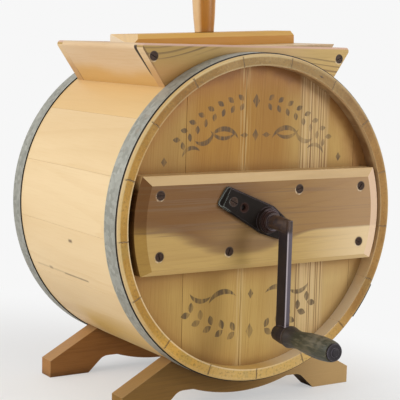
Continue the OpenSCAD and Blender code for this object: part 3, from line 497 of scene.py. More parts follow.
def stain_and_shade_wall(tree, shader, spot):
    """Brown water stain and painted shade on the rim's inner wall, deep in the recess and at the upper right, and
    painted light at its lower right.
    """
    outward = from_axis(tree, spot)
    facing_in = vector_of(
        tree, "DOT_PRODUCT", add(tree, "TexCoord").outputs["Normal"],
        vector_of(tree, "NORMALIZE", outward))
    across, _, high = axes_of(tree, outward)
    blotchy = ramp(tree, cloud(tree, spot, 30, 3), 0.3, 0.65, 0.6, 1.0)
    where = times(
        tree, ramp(tree, high, -0.055, -0.005), ramp(tree, across, -0.05, 0.05), blotchy,
        ramp(tree, axes_of(tree, spot)[1], drum_front + 3.0 * MM, drum_front + 7 * MM, 0.3, 1.0))
    wall = ramp(tree, facing_in, -0.4, -0.8)
    # Brown stain and painted shade, deep in the recess and at the upper right of the wall.
    over(tree, shader, times(tree, wall, where, 0.9), (0.15, 0.058, 0.014))
    # Painted light: the lower right of the wall is made paler, as lit.
    lit_low_right = times(tree, wall, ramp(tree, high, -0.06, -0.10), ramp(tree, across, 0.0, 0.05), 0.8)
    over(tree, shader, lit_low_right, (0.80, 0.67, 0.48))


def hoop_dirt_and_shade(tree, shader, spot):
    """Dark lines along both hoops: dirt, and the painted shadow of each hoop's edge. The front hoop's front edge has
    the widest one.
    """
    depth = axes_of(tree, spot)[1]
    away = vector_of(tree, "LENGTH", from_axis(tree, spot))
    outside = ramp(tree, away, drum_radius - 3 * MM, drum_radius - 1.5 * MM, 0.0, 0.9)
    for edge, width in ((hoop_low.y, 1.9), (hoop_high.y, 1.2), (rear_hoop_low.y, 1.5)):
        off = sum_of(tree, "ABSOLUTE", sum_of(tree, "SUBTRACT", depth, edge))
        near = ramp(tree, off, width * MM, 0.5 * width * MM)
        # Painted shadow of the hoop's edge, with dirt, on the staves beside it.
        over(tree, shader, times(tree, near, outside), (0.04, 0.022, 0.012))


def joint_angles(name, outwards):
    """The two angles, from straight up towards the right, between which a stave lies."""
    way_round = BACK.cross(outwards)
    turns = []
    for vertex in nodes[name].data.vertices:
        spot = vertex.co - drum_middle
        turns.append(math.atan2(spot.dot(way_round), spot.dot(outwards)))
    centre = math.atan2(outwards.x, outwards.z)
    return centre + min(turns), centre + max(turns)


def end_grain_marks(tree, shader, spot, joints):
    """Flecks on the staves' ends, tints that change round the rim, painted highlights along its inner and outer edges
    on the left, and a dark crooked line in each joint.
    """
    on_end = sum_of(tree, "MAXIMUM", turned_to(tree, -BACK, 0.6, 0.9), turned_to(tree, BACK, 0.6, 0.9))
    patches = cloud(tree, spot, 30, 3)
    over(tree, shader, times(tree, on_end, ramp(tree, patches, 0.46, 0.60), 0.45), (0.56, 0.37, 0.14))
    over(tree, shader, times(tree, on_end, ramp(tree, patches, 0.44, 0.34), 0.45), (0.37, 0.29, 0.12))
    fine = cloud(tree, stretched(tree, spot, 380, 1, 380), 1, 3, 0.6)
    over(tree, shader, times(tree, on_end, ramp(tree, fine, 0.52, 0.66), 0.60), (0.25, 0.175, 0.07))
    over(tree, shader, times(tree, on_end, ramp(tree, fine, 0.44, 0.33), 0.25), (0.66, 0.52, 0.29))
    across, _, high = axes_of(tree, from_axis(tree, spot))
    # Tints round the rim: more golden to the left, darker to the right and at the top.
    for value, low, full, tint in (
        (across, -0.02, -0.10, (1.0, 0.86, 0.45)), (across, 0.06, 0.14, (0.71, 0.56, 0.31)),
        (high, 0.06, 0.13, (0.68, 0.66, 0.62)),
    ):
        over(tree, shader, times(tree, on_end, ramp(tree, value, low, full)), tint, "MULTIPLY")
    away = vector_of(tree, "LENGTH", from_axis(tree, spot))
    # Painted highlights along the rim's inner and outer edges, on the left.
    to_left = ramp(tree, across, 0.09, -0.05, 0.2, 0.7)
    inner_edge_highlight = times(tree, ramp(tree, away, inner_radius + 1.9 * MM, inner_radius + 0.9 * MM), on_end, to_left,
                       ramp(tree, high, 0.08, 0.0, 0.35, 1.0))
    over(tree, shader, inner_edge_highlight, (0.80, 0.62, 0.36))
    outer_edge_highlight = times(tree, ramp(tree, away, drum_radius - 4.2 * MM, drum_radius - 2.2 * MM), on_end, to_left,
                       ramp(tree, high, -0.13, -0.06, 0.25, 1.0))
    over(tree, shader, outer_edge_highlight, (0.76, 0.57, 0.28))
    crooked = times(tree, sum_of(tree, "SUBTRACT", cloud(tree, spot, 240, 1), 0.5), 2.2 * MM)
    for angle in joints:
        off = vector_of(tree, "DOT_PRODUCT", from_axis(tree, spot), (math.cos(angle), 0, -math.sin(angle)))
        off = sum_of(tree, "ABSOLUTE", sum_of(tree, "ADD", off, crooked))
        over(tree, shader, times(tree, on_end, ramp(tree, off, 1.1 * MM, 0.4 * MM), 0.75), (0.07, 0.04, 0.018))


for name in stave_names:
    centre = middle(name)
    outwards = Vector((centre.x, 0, centre.z - axis_height)).normalized()
    tone = dice.uniform(0.96, 1.02)
    golden = GOLDEN_STAVES.get(name, dice.uniform(0.0, 0.2))
    light = STAVE_LIGHT.lerp(STAVE_GOLD, golden) * tone
    material, tree, shader, spot, in_board = wood(
        name + "_cedar", BACK, outwards, light, STAVE_DARK * tone,
        heart=(0, dice.uniform(-0.06, 0.06), -0.30 - dice.uniform(0, 0.1)), spacing=0.0032, wander=0.010,
        taper=dice.uniform(-0.02, 0.02), rings_show=0.25, fibre_show=0.12, broad_show=0.28,
        end_tint=(0.56, 0.455, 0.195), seed=dice.uniform(0, 40), dirt_and_shade_amount=0.35, wear=0.25, rough=0.5, coat=0.1,
        worn_colour=(0.78, 0.60, 0.36), dirt_and_shade_colour=(0.22, 0.12, 0.05),
    )
    # Painted golden shade low on the front of the staves.
    golden_shade_low_front = times(
        tree, ramp(tree, axes_of(tree, spot)[2], axis_height - 0.098, axis_height - 0.130),
        ramp(tree, axes_of(tree, spot)[1], 0.13, 0.08), 0.85)
    over(tree, shader, golden_shade_low_front, (0.63, 0.40, 0.11))
    stain_and_shade_wall(tree, shader, spot)
    end_grain_marks(tree, shader, spot, joint_angles(name, outwards))
    hoop_dirt_and_shade(tree, shader, spot)
    give_finish(name, material)
print(len(stave_names), "staves of cedar")

# %% [markdown]
# Two small accidents show on the left side: a short crack that follows the grain,
# and a chipped spot above it. Both are drawn as distances: from a line along the
# drum, and from a point. The direction round the drum is an angle from straight up.
# A third one is a nick at the upper right of the rim, longer than it is wide.

# %% A crack, a chip and a nick


def round_place(angle):
    """A point of the drum's outside, by its angle from the top towards the left."""
    return Vector((-math.sin(angle), 0, math.cos(angle))) * drum_radius


CRACK = (113.6, 0.028, 0.082, 1.1 * MM, 0.60)
FAINT_END = (113.4, 0.084, 0.150, 1.0 * MM, 0.22)
KNOT = (113.2, 0.113, 0.119, 2.4 * MM, 0.50)
CHIP = (99.4, 0.044, 0.050, 2.4 * MM, 0.85)
NICK = math.radians(-25.5)
for name in stave_names:
    material = nodes[name].material_slots[0].material
    tree, shader = material.node_tree, material.node_tree.nodes["Principled BSDF"]
    spot = add(tree, "TexCoord").outputs["Object"]
    depth = axes_of(tree, spot)[1]
    wavy = cloud(tree, stretched(tree, spot, 10, 60, 10), 1, 2)
    for degrees, start, end, width, share in (CRACK, FAINT_END, KNOT, CHIP):
        line = tuple(round_place(math.radians(degrees)))
        off = vector_of(tree, "LENGTH", vector_of(tree, "SUBTRACT", from_axis(tree, spot), line))
        near = ramp(tree, sum_of(tree, "MULTIPLY_ADD", wavy, -1.2 * MM, off), width, -0.2 * MM)
        within = times(
            tree, ramp(tree, depth, start - 0.003, start + 0.001), ramp(tree, depth, end + 0.003, end - 0.001))
        over(tree, shader, times(tree, near, within, share), (0.11, 0.06, 0.028))
    from_nick = vector_of(tree, "SUBTRACT", from_axis(tree, spot), tuple(round_place(NICK) * 0.957))
    along = vector_of(tree, "DOT_PRODUCT", from_nick, tuple(round_place(NICK + math.pi / 2) / drum_radius))
    beside = vector_of(tree, "DOT_PRODUCT", from_nick, tuple(round_place(NICK) / drum_radius))
    size = vector_of(tree, "LENGTH", stretched(tree, from_nick, 1, 0, 1))
    shape = sum_of(tree, "ADD", sum_of(tree, "ABSOLUTE", times(tree, along, 0.3)), sum_of(tree, "ABSOLUTE", beside))
    nick = times(tree, ramp(tree, shape, 1.5 * MM, 0.7 * MM), ramp(tree, size, 6 * MM, 4 * MM))
    over(tree, shader, times(tree, nick, turned_to(tree, -BACK, 0.6, 0.9), 0.85), (0.07, 0.038, 0.018))
print("a crack, a chip and a nick")

# %% [markdown]
# ## The hoops
# Galvanised iron strip. Zinc grows in crystals, so its grey changes from one patch
# to the next, and it dulls where it stays damp. Voronoi cells give the patches. The
# cut edges of the strip were never galvanised, so they are painted nearly black, for
# their rust and for the painted shade in the gap along each edge.

# %% Metal materials


def metal(
    name, tone, patch_tone, bright_edge, rust=(0.16, 0.07, 0.03), rusty=0.3, patch_scale=90,
    metallic=0.8, rough=0.5, wear=0.8, edge_width=0.0012, dirt_and_shade_amount=0.7, relief=0.3, cast=False,
):
    """A metal with patches, rust in its corners and bright worn edges."""
    material = bpy.data.materials.new(name)
    material.use_nodes = True
    tree = material.node_tree
    shader = tree.nodes["Principled BSDF"]
    spot = add(tree, "TexCoord").outputs["Object"]
    patches = add(tree, "TexVoronoi")
    feed(tree, patches.inputs["Vector"], spot)
    patches.inputs["Scale"].default_value = patch_scale
    patches.inputs["Randomness"].default_value = 1
    cell = add(tree, "SeparateColor")
    feed(tree, cell.inputs[0], patches.outputs["Color"])
    broad = cloud(tree, spot, 22, 4, 0.6)
    share = times(tree, sum_of(tree, "ADD", cell.outputs[0], broad), 0.5)
    colour = blend_of(tree, share, (*tone, 1), (*patch_tone, 1))
    rust_share = times(tree, ramp(tree, cloud(tree, spot, 55, 6, 0.7), 0.56, 0.72), rusty)
    grime_and_shade = place(tree, dirt_and_shade, Reach=0.008, Amount=dirt_and_shade_amount)["Dirt and Shade"]
    rust_share = sum_of(tree, "MAXIMUM", rust_share, times(tree, grime_and_shade, 0.8))
    colour = blend_of(tree, rust_share, colour, (*rust, 1))
    edge = place(tree, worn, Width=edge_width, Wear=wear)["Edge"]
    colour = blend_of(tree, edge, colour, (*bright_edge, 1))
    feed(tree, shader.inputs["Base Color"], colour)
    feed(tree, shader.inputs["Metallic"], ramp(tree, rust_share, 0.0, 0.9, metallic, 0.05))
    scuffed = sum_of(tree, "MULTIPLY_ADD", broad, 0.3, rough - 0.15)
    feed(tree, shader.inputs["Roughness"], sum_of(tree, "MULTIPLY_ADD", edge, -0.12, scuffed))
    bump = add(tree, "Bump")
    bump.inputs["Strength"].default_value = relief
    bump.inputs["Distance"].default_value = 0.0005
    feed(tree, bump.inputs["Height"], cloud(tree, spot, 900 if cast else 260, 3, 0.6))
    feed(tree, shader.inputs["Normal"], bump.outputs[0])
    return material, tree, shader, spot


zinc, tree, shader, spot = metal(
    "galvanised_strip", (0.46, 0.455, 0.40), (0.20, 0.20, 0.165), (0.46, 0.47, 0.44),
    rust=(0.22, 0.14, 0.08), rusty=0.4, patch_scale=230, metallic=0.5, rough=0.52, wear=0.25,
)
# The cut edges painted nearly black: rust, and painted shade in the gap at each edge.
cut_edge_rust_and_shade = sum_of(tree, "MAXIMUM", turned_to(tree, BACK, 0.45, 0.75), turned_to(tree, -BACK, 0.45, 0.75))
over(tree, shader, cut_edge_rust_and_shade, (0.010, 0.007, 0.005))
for name in ("front_hoop", "rear_hoop", "hoop_rivets"):
    give_finish(name, zinc)
print("zinc on the hoops")

# %% [markdown]
# ## A stencilled ornament
# Such churns were decorated on the front head with a stencil and dark paint. The one
# here is plain: leaves along an arc, small diamonds and scroll strokes. A stencil is
# cut from single strokes, so each stroke is one formula: the room that a point has
# inside the stroke's outline, in metres. The paint has worn off where the room or
# the wood's wear says so.

# %% Stencil group
stencil, take, give = start_group("stencil", [("Place", "Vector", None)], [("Paint", "Float")])
CRISP = 0.4 * MM
across, _, high = axes_of(stencil, take["Place"])
side = sum_of(stencil, "ABSOLUTE", across)
reach_out = vector_of(stencil, "LENGTH", take["Place"])


def inked(room):
    """Paint where the room inside a stroke is more than nothing."""
    return ramp(stencil, room, -CRISP, CRISP)


def leaf_row(along, off, end, pitch=0.0125, lean=math.radians(52), length=9.0 * MM, width=2.6 * MM):
    """Pairs of leaves above and below a line, from its middle to its end."""
    step = sum_of(stencil, "SUBTRACT", sum_of(stencil, "FRACT", sum_of(stencil, "DIVIDE", along, pitch)), 0.5)
    here = times(stencil, step, pitch)
    rise = sum_of(stencil, "SUBTRACT", sum_of(stencil, "ABSOLUTE", off), 5.0 * MM)
    lengthwise = sum_of(stencil, "MULTIPLY_ADD", here, math.cos(lean), times(stencil, rise, math.sin(lean)))
    sideways = sum_of(stencil, "MULTIPLY_ADD", here, -math.sin(lean), times(stencil, rise, math.cos(lean)))
    bulge = sum_of(stencil, "POWER", sum_of(stencil, "ABSOLUTE", sum_of(stencil, "DIVIDE", lengthwise, length / 2)), 2.0)
    room = sum_of(stencil, "SUBTRACT", times(stencil, sum_of(stencil, "SUBTRACT", 1.0, bulge), width),
                  sum_of(stencil, "ABSOLUTE", sideways))
    inside = times(stencil, ramp(stencil, along, end, end - 0.001), ramp(stencil, along, pitch - 0.001, pitch))
    return times(stencil, inked(room), inside)


def diamond(x, z, centre, half_width, half_height):
    """A small diamond round a centre, given as across and up."""
    wide = times(stencil, sum_of(stencil, "ABSOLUTE", sum_of(stencil, "SUBTRACT", x, centre[0])), 1 / half_width)
    tall = times(stencil, sum_of(stencil, "ABSOLUTE", sum_of(stencil, "SUBTRACT", z, centre[1])), 1 / half_height)
    room = times(stencil, sum_of(stencil, "SUBTRACT", sum_of(stencil, "SUBTRACT", 1.0, wide), tall), half_width)
    return inked(room)


def scroll(centre, radius, towards, half_turn, width):
    """A stroke along a circle, thick in its middle and thin at its ends."""
    x = sum_of(stencil, "SUBTRACT", side, centre[0])
    z = sum_of(stencil, "SUBTRACT", high, centre[1])
    away = sum_of(stencil, "SQRT", sum_of(stencil, "ADD", times(stencil, x, x), times(stencil, z, z)))
    turned_x = sum_of(stencil, "MULTIPLY_ADD", x, math.cos(towards), times(stencil, z, math.sin(towards)))
    turned_z = sum_of(stencil, "MULTIPLY_ADD", z, math.cos(towards), times(stencil, x, -math.sin(towards)))
    share = sum_of(stencil, "DIVIDE", sum_of(stencil, "ARCTAN2", turned_z, turned_x), half_turn)
    room = sum_of(stencil, "SUBTRACT", times(stencil, sum_of(stencil, "SUBTRACT", 1.0, times(stencil, share, share)), width),
                  sum_of(stencil, "ABSOLUTE", sum_of(stencil, "SUBTRACT", away, radius)))
    return inked(room)


ARC = 0.124
round_top = times(stencil, sum_of(stencil, "ARCTAN2", side, high), ARC)
round_bottom = times(stencil, sum_of(stencil, "ARCTAN2", side, sum_of(stencil, "MULTIPLY", high, -1.0)), ARC)
off_arc = sum_of(stencil, "SUBTRACT", reach_out, ARC)
strokes = [
    leaf_row(round_top, off_arc, 0.1125),
    leaf_row(round_bottom, off_arc, 0.0930, pitch=0.0155, length=11.5 * MM, width=3.4 * MM),
    diamond(side, high, (0, ARC), 4.5 * MM, 7.5 * MM),
    diamond(side, high, (0, -ARC), 5.0 * MM, 8.5 * MM),
    diamond(side, high, (0, 0.088), 4.0 * MM, 6.5 * MM),
    diamond(side, high, (0.0140, 0.088), 5.5 * MM, 3.0 * MM),
    diamond(side, high, (0.112, 0.062), 3.5 * MM, 5.0 * MM),
    diamond(side, high, (0.0, -0.083), 3.5 * MM, 5.5 * MM),
    scroll((0.040, 0.074), 0.021, math.radians(95), math.radians(56), 2.7 * MM),
    scroll((0.040, 0.106), 0.021, math.radians(-85), math.radians(48), 2.1 * MM),
    scroll((0.067, 0.094), 0.014, math.radians(-110), math.radians(60), 2.6 * MM),
    scroll((0.078, 0.063), 0.013, math.radians(75), math.radians(60), 2.2 * MM),
    scroll((0.034, -0.100), 0.022, math.radians(80), math.radians(52), 3.0 * MM),
    scroll((0.062, -0.069), 0.017, math.radians(-80), math.radians(52), 2.6 * MM),
]
paint = strokes[0]
for stroke in strokes[1:]:
    paint = sum_of(stencil, "MAXIMUM", paint, stroke)
rubbed = ramp(
    stencil, cloud(stencil, stretched(stencil, take["Place"], 300, 1, 35), 1, 4, 0.6), 0.34, 0.58, 0.35, 1.0)
thin = ramp(stencil, cloud(stencil, take["Place"], 19, 2), 0.32, 0.50, 0.5, 1.0)
feed(stencil, give["Paint"], times(stencil, paint, rubbed, thin))
print("stencil has", len(stencil.nodes), "nodes")

# %% [markdown]
# ## The heads
# Each head is five cedar boards, held in a groove of the staves. They are sawn close
# to the tree's heart line, so their grain is fine and nearly straight. Oil has turned
# them golden, water has left a red stain under the upper rim, where the rim's painted
# shade lies too, and one board of the front head has weathered until its hard rings
# stand out as lines. Painted shade lies along the crossboard's edges, most below it,
# and the lower right is painted paler with light and sheen.

# %% Heads
HEAD_LIGHT = Vector((0.52, 0.335, 0.095))
HEAD_DARK = Vector((0.36, 0.19, 0.040))
WEATHERED = (0.058, 0.097)
JOINT = -13 * MM


def head_stain_and_shade(tree, shader, spot, front):
    """Reddish stain and painted shade near the rim, mostly along its upper half, painted shade along the crossboard,
    painted light and sheen at the lower right, and pale streaks.
    """
    from_middle = from_axis(tree, spot)
    across, _, high = axes_of(tree, from_middle)
    away = vector_of(tree, "LENGTH", from_middle)
    blotchy = times(tree, sum_of(tree, "SUBTRACT", cloud(tree, spot, 16, 4, 0.6), 0.5), 0.05)
    ragged = sum_of(tree, "ADD", away, blotchy)
    # Darker towards the upper left.
    duller = sum_of(tree, "MULTIPLY_ADD", across, -0.6, high)
    over(tree, shader, ramp(tree, duller, -0.08, 0.12, 0.0, 0.75), (0.80, 0.72, 0.60), "MULTIPLY")
    amber = times(tree, ramp(tree, high, 0.0, 0.05), ramp(
        tree, sum_of(tree, "ABSOLUTE", sum_of(tree, "ADD", across, 0.020)), 0.075, 0.045))
    over(tree, shader, amber, (0.88, 0.73, 0.38), "MULTIPLY")
    # Painted light and sheen: the lower right is made paler.
    lit_lower_right = times(tree, ramp(tree, high, 0.0, -0.06), ramp(tree, across, 0.01, 0.07), 0.4)
    over(tree, shader, lit_lower_right, (0.66, 0.50, 0.25))
    # Near the upper rim: reddish stain together with the rim's painted shade.
    upper = ramp(tree, high, -0.03, 0.10, 0.25, 0.8)
    over(tree, shader, times(tree, ramp(tree, ragged, inner_radius * 0.80, inner_radius), upper), (0.34, 0.15, 0.036))
    deep = times(tree, ramp(tree, ragged, inner_radius * 0.92, inner_radius * 1.01), ramp(tree, high, 0.0, 0.10, 0.1, 0.8))
    over(tree, shader, deep, (0.20, 0.078, 0.018))
    # Painted shade along the crossboard's edges, strongest below it.
    under_board = times(
        tree, ramp(tree, sum_of(tree, "ABSOLUTE", high), 0.078, 0.052), ramp(tree, high, 0.0, -0.01, 0.25, 0.6))
    over(tree, shader, under_board, (0.34, 0.17, 0.045))
    if front:
        fine = cloud(tree, stretched(tree, spot, 620, 1, 3), 1, 2, 0.6)
        band = times(tree, ramp(tree, across, WEATHERED[0] - 0.003, WEATHERED[0] + 0.004),
                     ramp(tree, across, WEATHERED[1] + 0.003, WEATHERED[1] - 0.004))
        over(tree, shader, times(tree, band, 0.30), (0.64, 0.46, 0.24))
        over(tree, shader, times(tree, band, ramp(tree, fine, 0.50, 0.40), 0.55), (0.68, 0.50, 0.27))
        over(tree, shader, times(tree, band, ramp(tree, fine, 0.52, 0.60), 0.80), (0.20, 0.095, 0.025))
        patchy = ramp(tree, cloud(tree, stretched(tree, spot, 500, 1, 20), 1, 2), 0.40, 0.60)
        near_joint = sum_of(tree, "ABSOLUTE", sum_of(tree, "SUBTRACT", across, JOINT - 1.0 * MM))
        over(tree, shader, times(tree, ramp(tree, near_joint, 9 * MM, 2 * MM), patchy, 0.45), (0.64, 0.46, 0.21))
        paint = place(tree, stencil, Place=from_middle)["Paint"]
        over(tree, shader, times(tree, paint, turned_to(tree, -BACK, 0.5, 0.9), 0.90), (0.085, 0.052, 0.025))


for end, outwards in (("front", -BACK), ("rear", BACK)):
    for n in range(1, 6):
        name = f"{end}_head_board_{n}"
        tone = (1.0, 1.05, 1.0, 1.02, 0.95)[n - 1]
        material, tree, shader, spot, in_board = wood(
            name + "_cedar", UP, outwards, HEAD_LIGHT * tone, HEAD_DARK * tone,
            heart=(0, -0.30 - 0.02 * n, -0.06 + 0.02 * n), spacing=0.0026, wander=0.012, taper=0.045,
            rings_show=0.36, fibre_show=0.34, broad_show=0.40, seed=3.1 * n + (0 if end == "front" else 50),
            dirt_and_shade_amount=0.8, reach=0.016, wear=0.1, worn_colour=(0.60, 0.40, 0.16), dirt_and_shade_colour=(0.13, 0.06, 0.02),
            rough=0.52,
        )
        head_stain_and_shade(tree, shader, spot, end == "front")
        give_finish(name, material)
print("10 head boards")

# %% [markdown]
# ## The crossboards
# One thick plank across each head. The front one was sawn where brown heartwood
# meets yellow sapwood: the line between them dips in the left half and runs straight
# in the right one. Each screw has a dark ring round it, stain and painted shade, with
# painted shade inside its upper edge and a painted glint below. The plank is painted
# lighter towards its right end and on its right-facing bevels, as lit, and darker on its
# left-facing bevels, as shaded; the empty screw hole is painted black as shade.

# %% Crossboards
SPARE_HOLE = Vector((-29.9, 0, 15.0)) * MM


def screw_places(name, side_of):
    """The middles of a node's screw heads that lie furthest out on one side."""
    points = [side_of * vertex.co.y for vertex in nodes[name].data.vertices]
    outermost = max(points)
    heads = [v.co for v, y in zip(nodes[name].data.vertices, points) if y > outermost - 2.5 * MM]
    groups = []
    for point in heads:
        near = next((group for group in groups if (group[0] - point).xz.length < 10 * MM), None)
        if near:
            near.append(point)
        else:
            groups.append([point])
    return [(Vector(map(min, zip(*g))) + Vector(map(max, zip(*g)))) / 2 for g in groups]


def nearest_of(tree, spot, places, shift=(0, 0, 0)):
    """The distance, seen from the front, to the nearest of some places, all shifted alike."""
    nearest = None
    for centre in places:
        middle_of = tuple(centre + Vector(shift))
        off = vector_of(tree, "LENGTH", stretched(tree, vector_of(tree, "SUBTRACT", spot, middle_of), 1, 0, 1))
        nearest = off if nearest is None else sum_of(tree, "MINIMUM", nearest, off)
    return nearest


def screw_rings(tree, shader, spot, places, reach=7.5 * MM):
    """A dark ring round the screws, stain and painted shade, a painted glint below each and painted shade inside the
    upper edge of each.
    """
    over(tree, shader, ramp(tree, nearest_of(tree, spot, places), reach, 4.2 * MM, 0.0, 0.4), (0.22, 0.12, 0.05))
    # Painted glint below each head, broken up by noise.
    below = nearest_of(tree, spot, places, (-0.7 * MM, 0, -1.0 * MM))
    broken_glint = ramp(tree, cloud(tree, spot, 260, 2), 0.40, 0.60, 0.1, 0.6)
    over(tree, shader, times(tree, ramp(tree, below, 5.4 * MM, 4.9 * MM), broken_glint), (0.74, 0.58, 0.38))
    # Painted shade inside the upper edge of each hole.
    upper = nearest_of(tree, spot, places, (0.15 * MM, 0, 0.25 * MM))
    over(tree, shader, ramp(tree, upper, 5.4 * MM, 4.8 * MM, 0.0, 0.9), (0.040, 0.022, 0.012))


for end, outwards in (("front", -BACK), ("rear", BACK)):
    material, tree, shader, spot, in_board = wood(
        end + "_crossboard_wood", RIGHT, outwards, (0.52, 0.335, 0.100), (0.38, 0.215, 0.062),
        heart=(0, 0.09, -0.05), spacing=0.0042, wander=0.018, taper=0.03, rings_show=0.35, fibre_show=0.25,
        broad_show=0.25, seed=8.0 if end == "front" else 23.0, end_tint=(0.75, 0.68, 0.58), wear=0.15,
        worn_colour=(0.66, 0.47, 0.24), dirt_and_shade_colour=(0.10, 0.05, 0.022), dirt_and_shade_amount=1.0, reach=0.014, rough=0.45, coat=0.1,
    )
    from_middle = from_axis(tree, spot)
    across, _, high = axes_of(tree, from_middle)
    lowest = -0.013 if end == "front" else -0.004
    dip = times(tree, ramp(tree, across, -0.125, -0.055), ramp(tree, across, 0.075, -0.010), lowest)
    fall = ramp(tree, across, -0.150, -0.050, -0.002, -0.0135)
    raggedness = ramp(tree, across, 0.0, 0.06, 0.022, 0.003)
    wavy = sum_of(tree, "SUBTRACT", cloud(tree, stretched(tree, spot, 8, 1, 60), 1, 3), 0.5)
    line = sum_of(tree, "ADD", sum_of(tree, "ADD", fall, dip), times(tree, wavy, raggedness))
    over_line = sum_of(tree, "DIVIDE", sum_of(tree, "SUBTRACT", high, line), ramp(tree, across, -0.02, 0.06, 0.007, 0.0015))
    heartwood = ramp(tree, over_line, -1.0, 1.0)
    over(tree, shader, times(tree, heartwood, 0.9), (0.53, 0.41, 0.31), "MULTIPLY")
    over(tree, shader, times(tree, heartwood, ramp(tree, across, 0.03, -0.05)), (0.64, 0.51, 0.24), "MULTIPLY")
    paler = times(tree, ramp(tree, across, -0.11, -0.03), ramp(tree, across, 0.06, 0.0),
                  ramp(tree, high, 0.012, -0.010), heartwood, 0.75)
    over(tree, shader, paler, (0.33, 0.195, 0.068))
    at_line = times(tree, ramp(tree, over_line, -1.6, -0.3), ramp(tree, over_line, 1.4, 0.2), 0.5)
    over(tree, shader, at_line, (0.17, 0.085, 0.03))
    threads = ramp(tree, cloud(tree, stretched(tree, spot, 5, 1, 330), 1, 3, 0.6), 0.52, 0.64)
    over(tree, shader, times(tree, threads, ramp(tree, high, -0.03, 0.0, 0.15, 0.6)), (0.19, 0.10, 0.04))
    # Painted light and sheen: the plank is made paler towards its right end.
    lit_and_sheen_to_right = ramp(tree, across, 0.03, 0.15)
    over(tree, shader, times(tree, lit_and_sheen_to_right, heartwood, 0.40), (0.50, 0.32, 0.18))
    sapwood = sum_of(tree, "SUBTRACT", 1.0, heartwood)
    over(tree, shader, times(tree, lit_and_sheen_to_right, sapwood, 0.80), (0.80, 0.61, 0.36))
    # Painted shade on the left-facing bevels.
    over(tree, shader, turned_to(tree, (-1, 0, 0), 0.14, 0.32), (0.72, 0.64, 0.38), "MULTIPLY")
    # Painted light on the right-facing bevels.
    over(tree, shader, times(tree, turned_to(tree, (1, 0, 0), 0.16, 0.26), 0.8), (0.74, 0.52, 0.35))
    # The top bevel is paler: paler wood there, and painted light.
    over(tree, shader, times(tree, turned_to(tree, UP, 0.22, 0.32), ramp(tree, wavy, -0.2, 0.1, 0.75, 0.95)),
         (0.60, 0.405, 0.185))
    over(tree, shader, times(tree, turned_to(tree, -UP, 0.35, 0.5), 0.5), (0.60, 0.40, 0.15))
    screw_rings(tree, shader, spot, screw_places("crossboard_screws", -1 if end == "front" else 1))
    if end == "front":
        # Painted shade: the inside of the empty screw hole is made nearly black.
        in_hole = nearest_of(tree, spot, [drum_middle + SPARE_HOLE])
        over(tree, shader, ramp(tree, in_hole, 5 * MM, 4 * MM), (0.012, 0.006, 0.004))
    give_finish(end + "_crossboard", material)
print("2 crossboards")

# %% [markdown]
# ## Hopper and lid
# The hopper's ends are flat-sawn boards with wavy grain, its sides pinkish and worn.
# An open crack runs down the left side, where its board has shrunk away from the
# front, and painted shade lies along its rear joint. The lid is handled every day, so
# the cleat and its handle are the most golden wood on the churn, and their edges are
# rubbed pale. The handle's sides carry painted highlights; the cleat's front face is
# painted darker as shade, and its left end paler, as lit end grain.

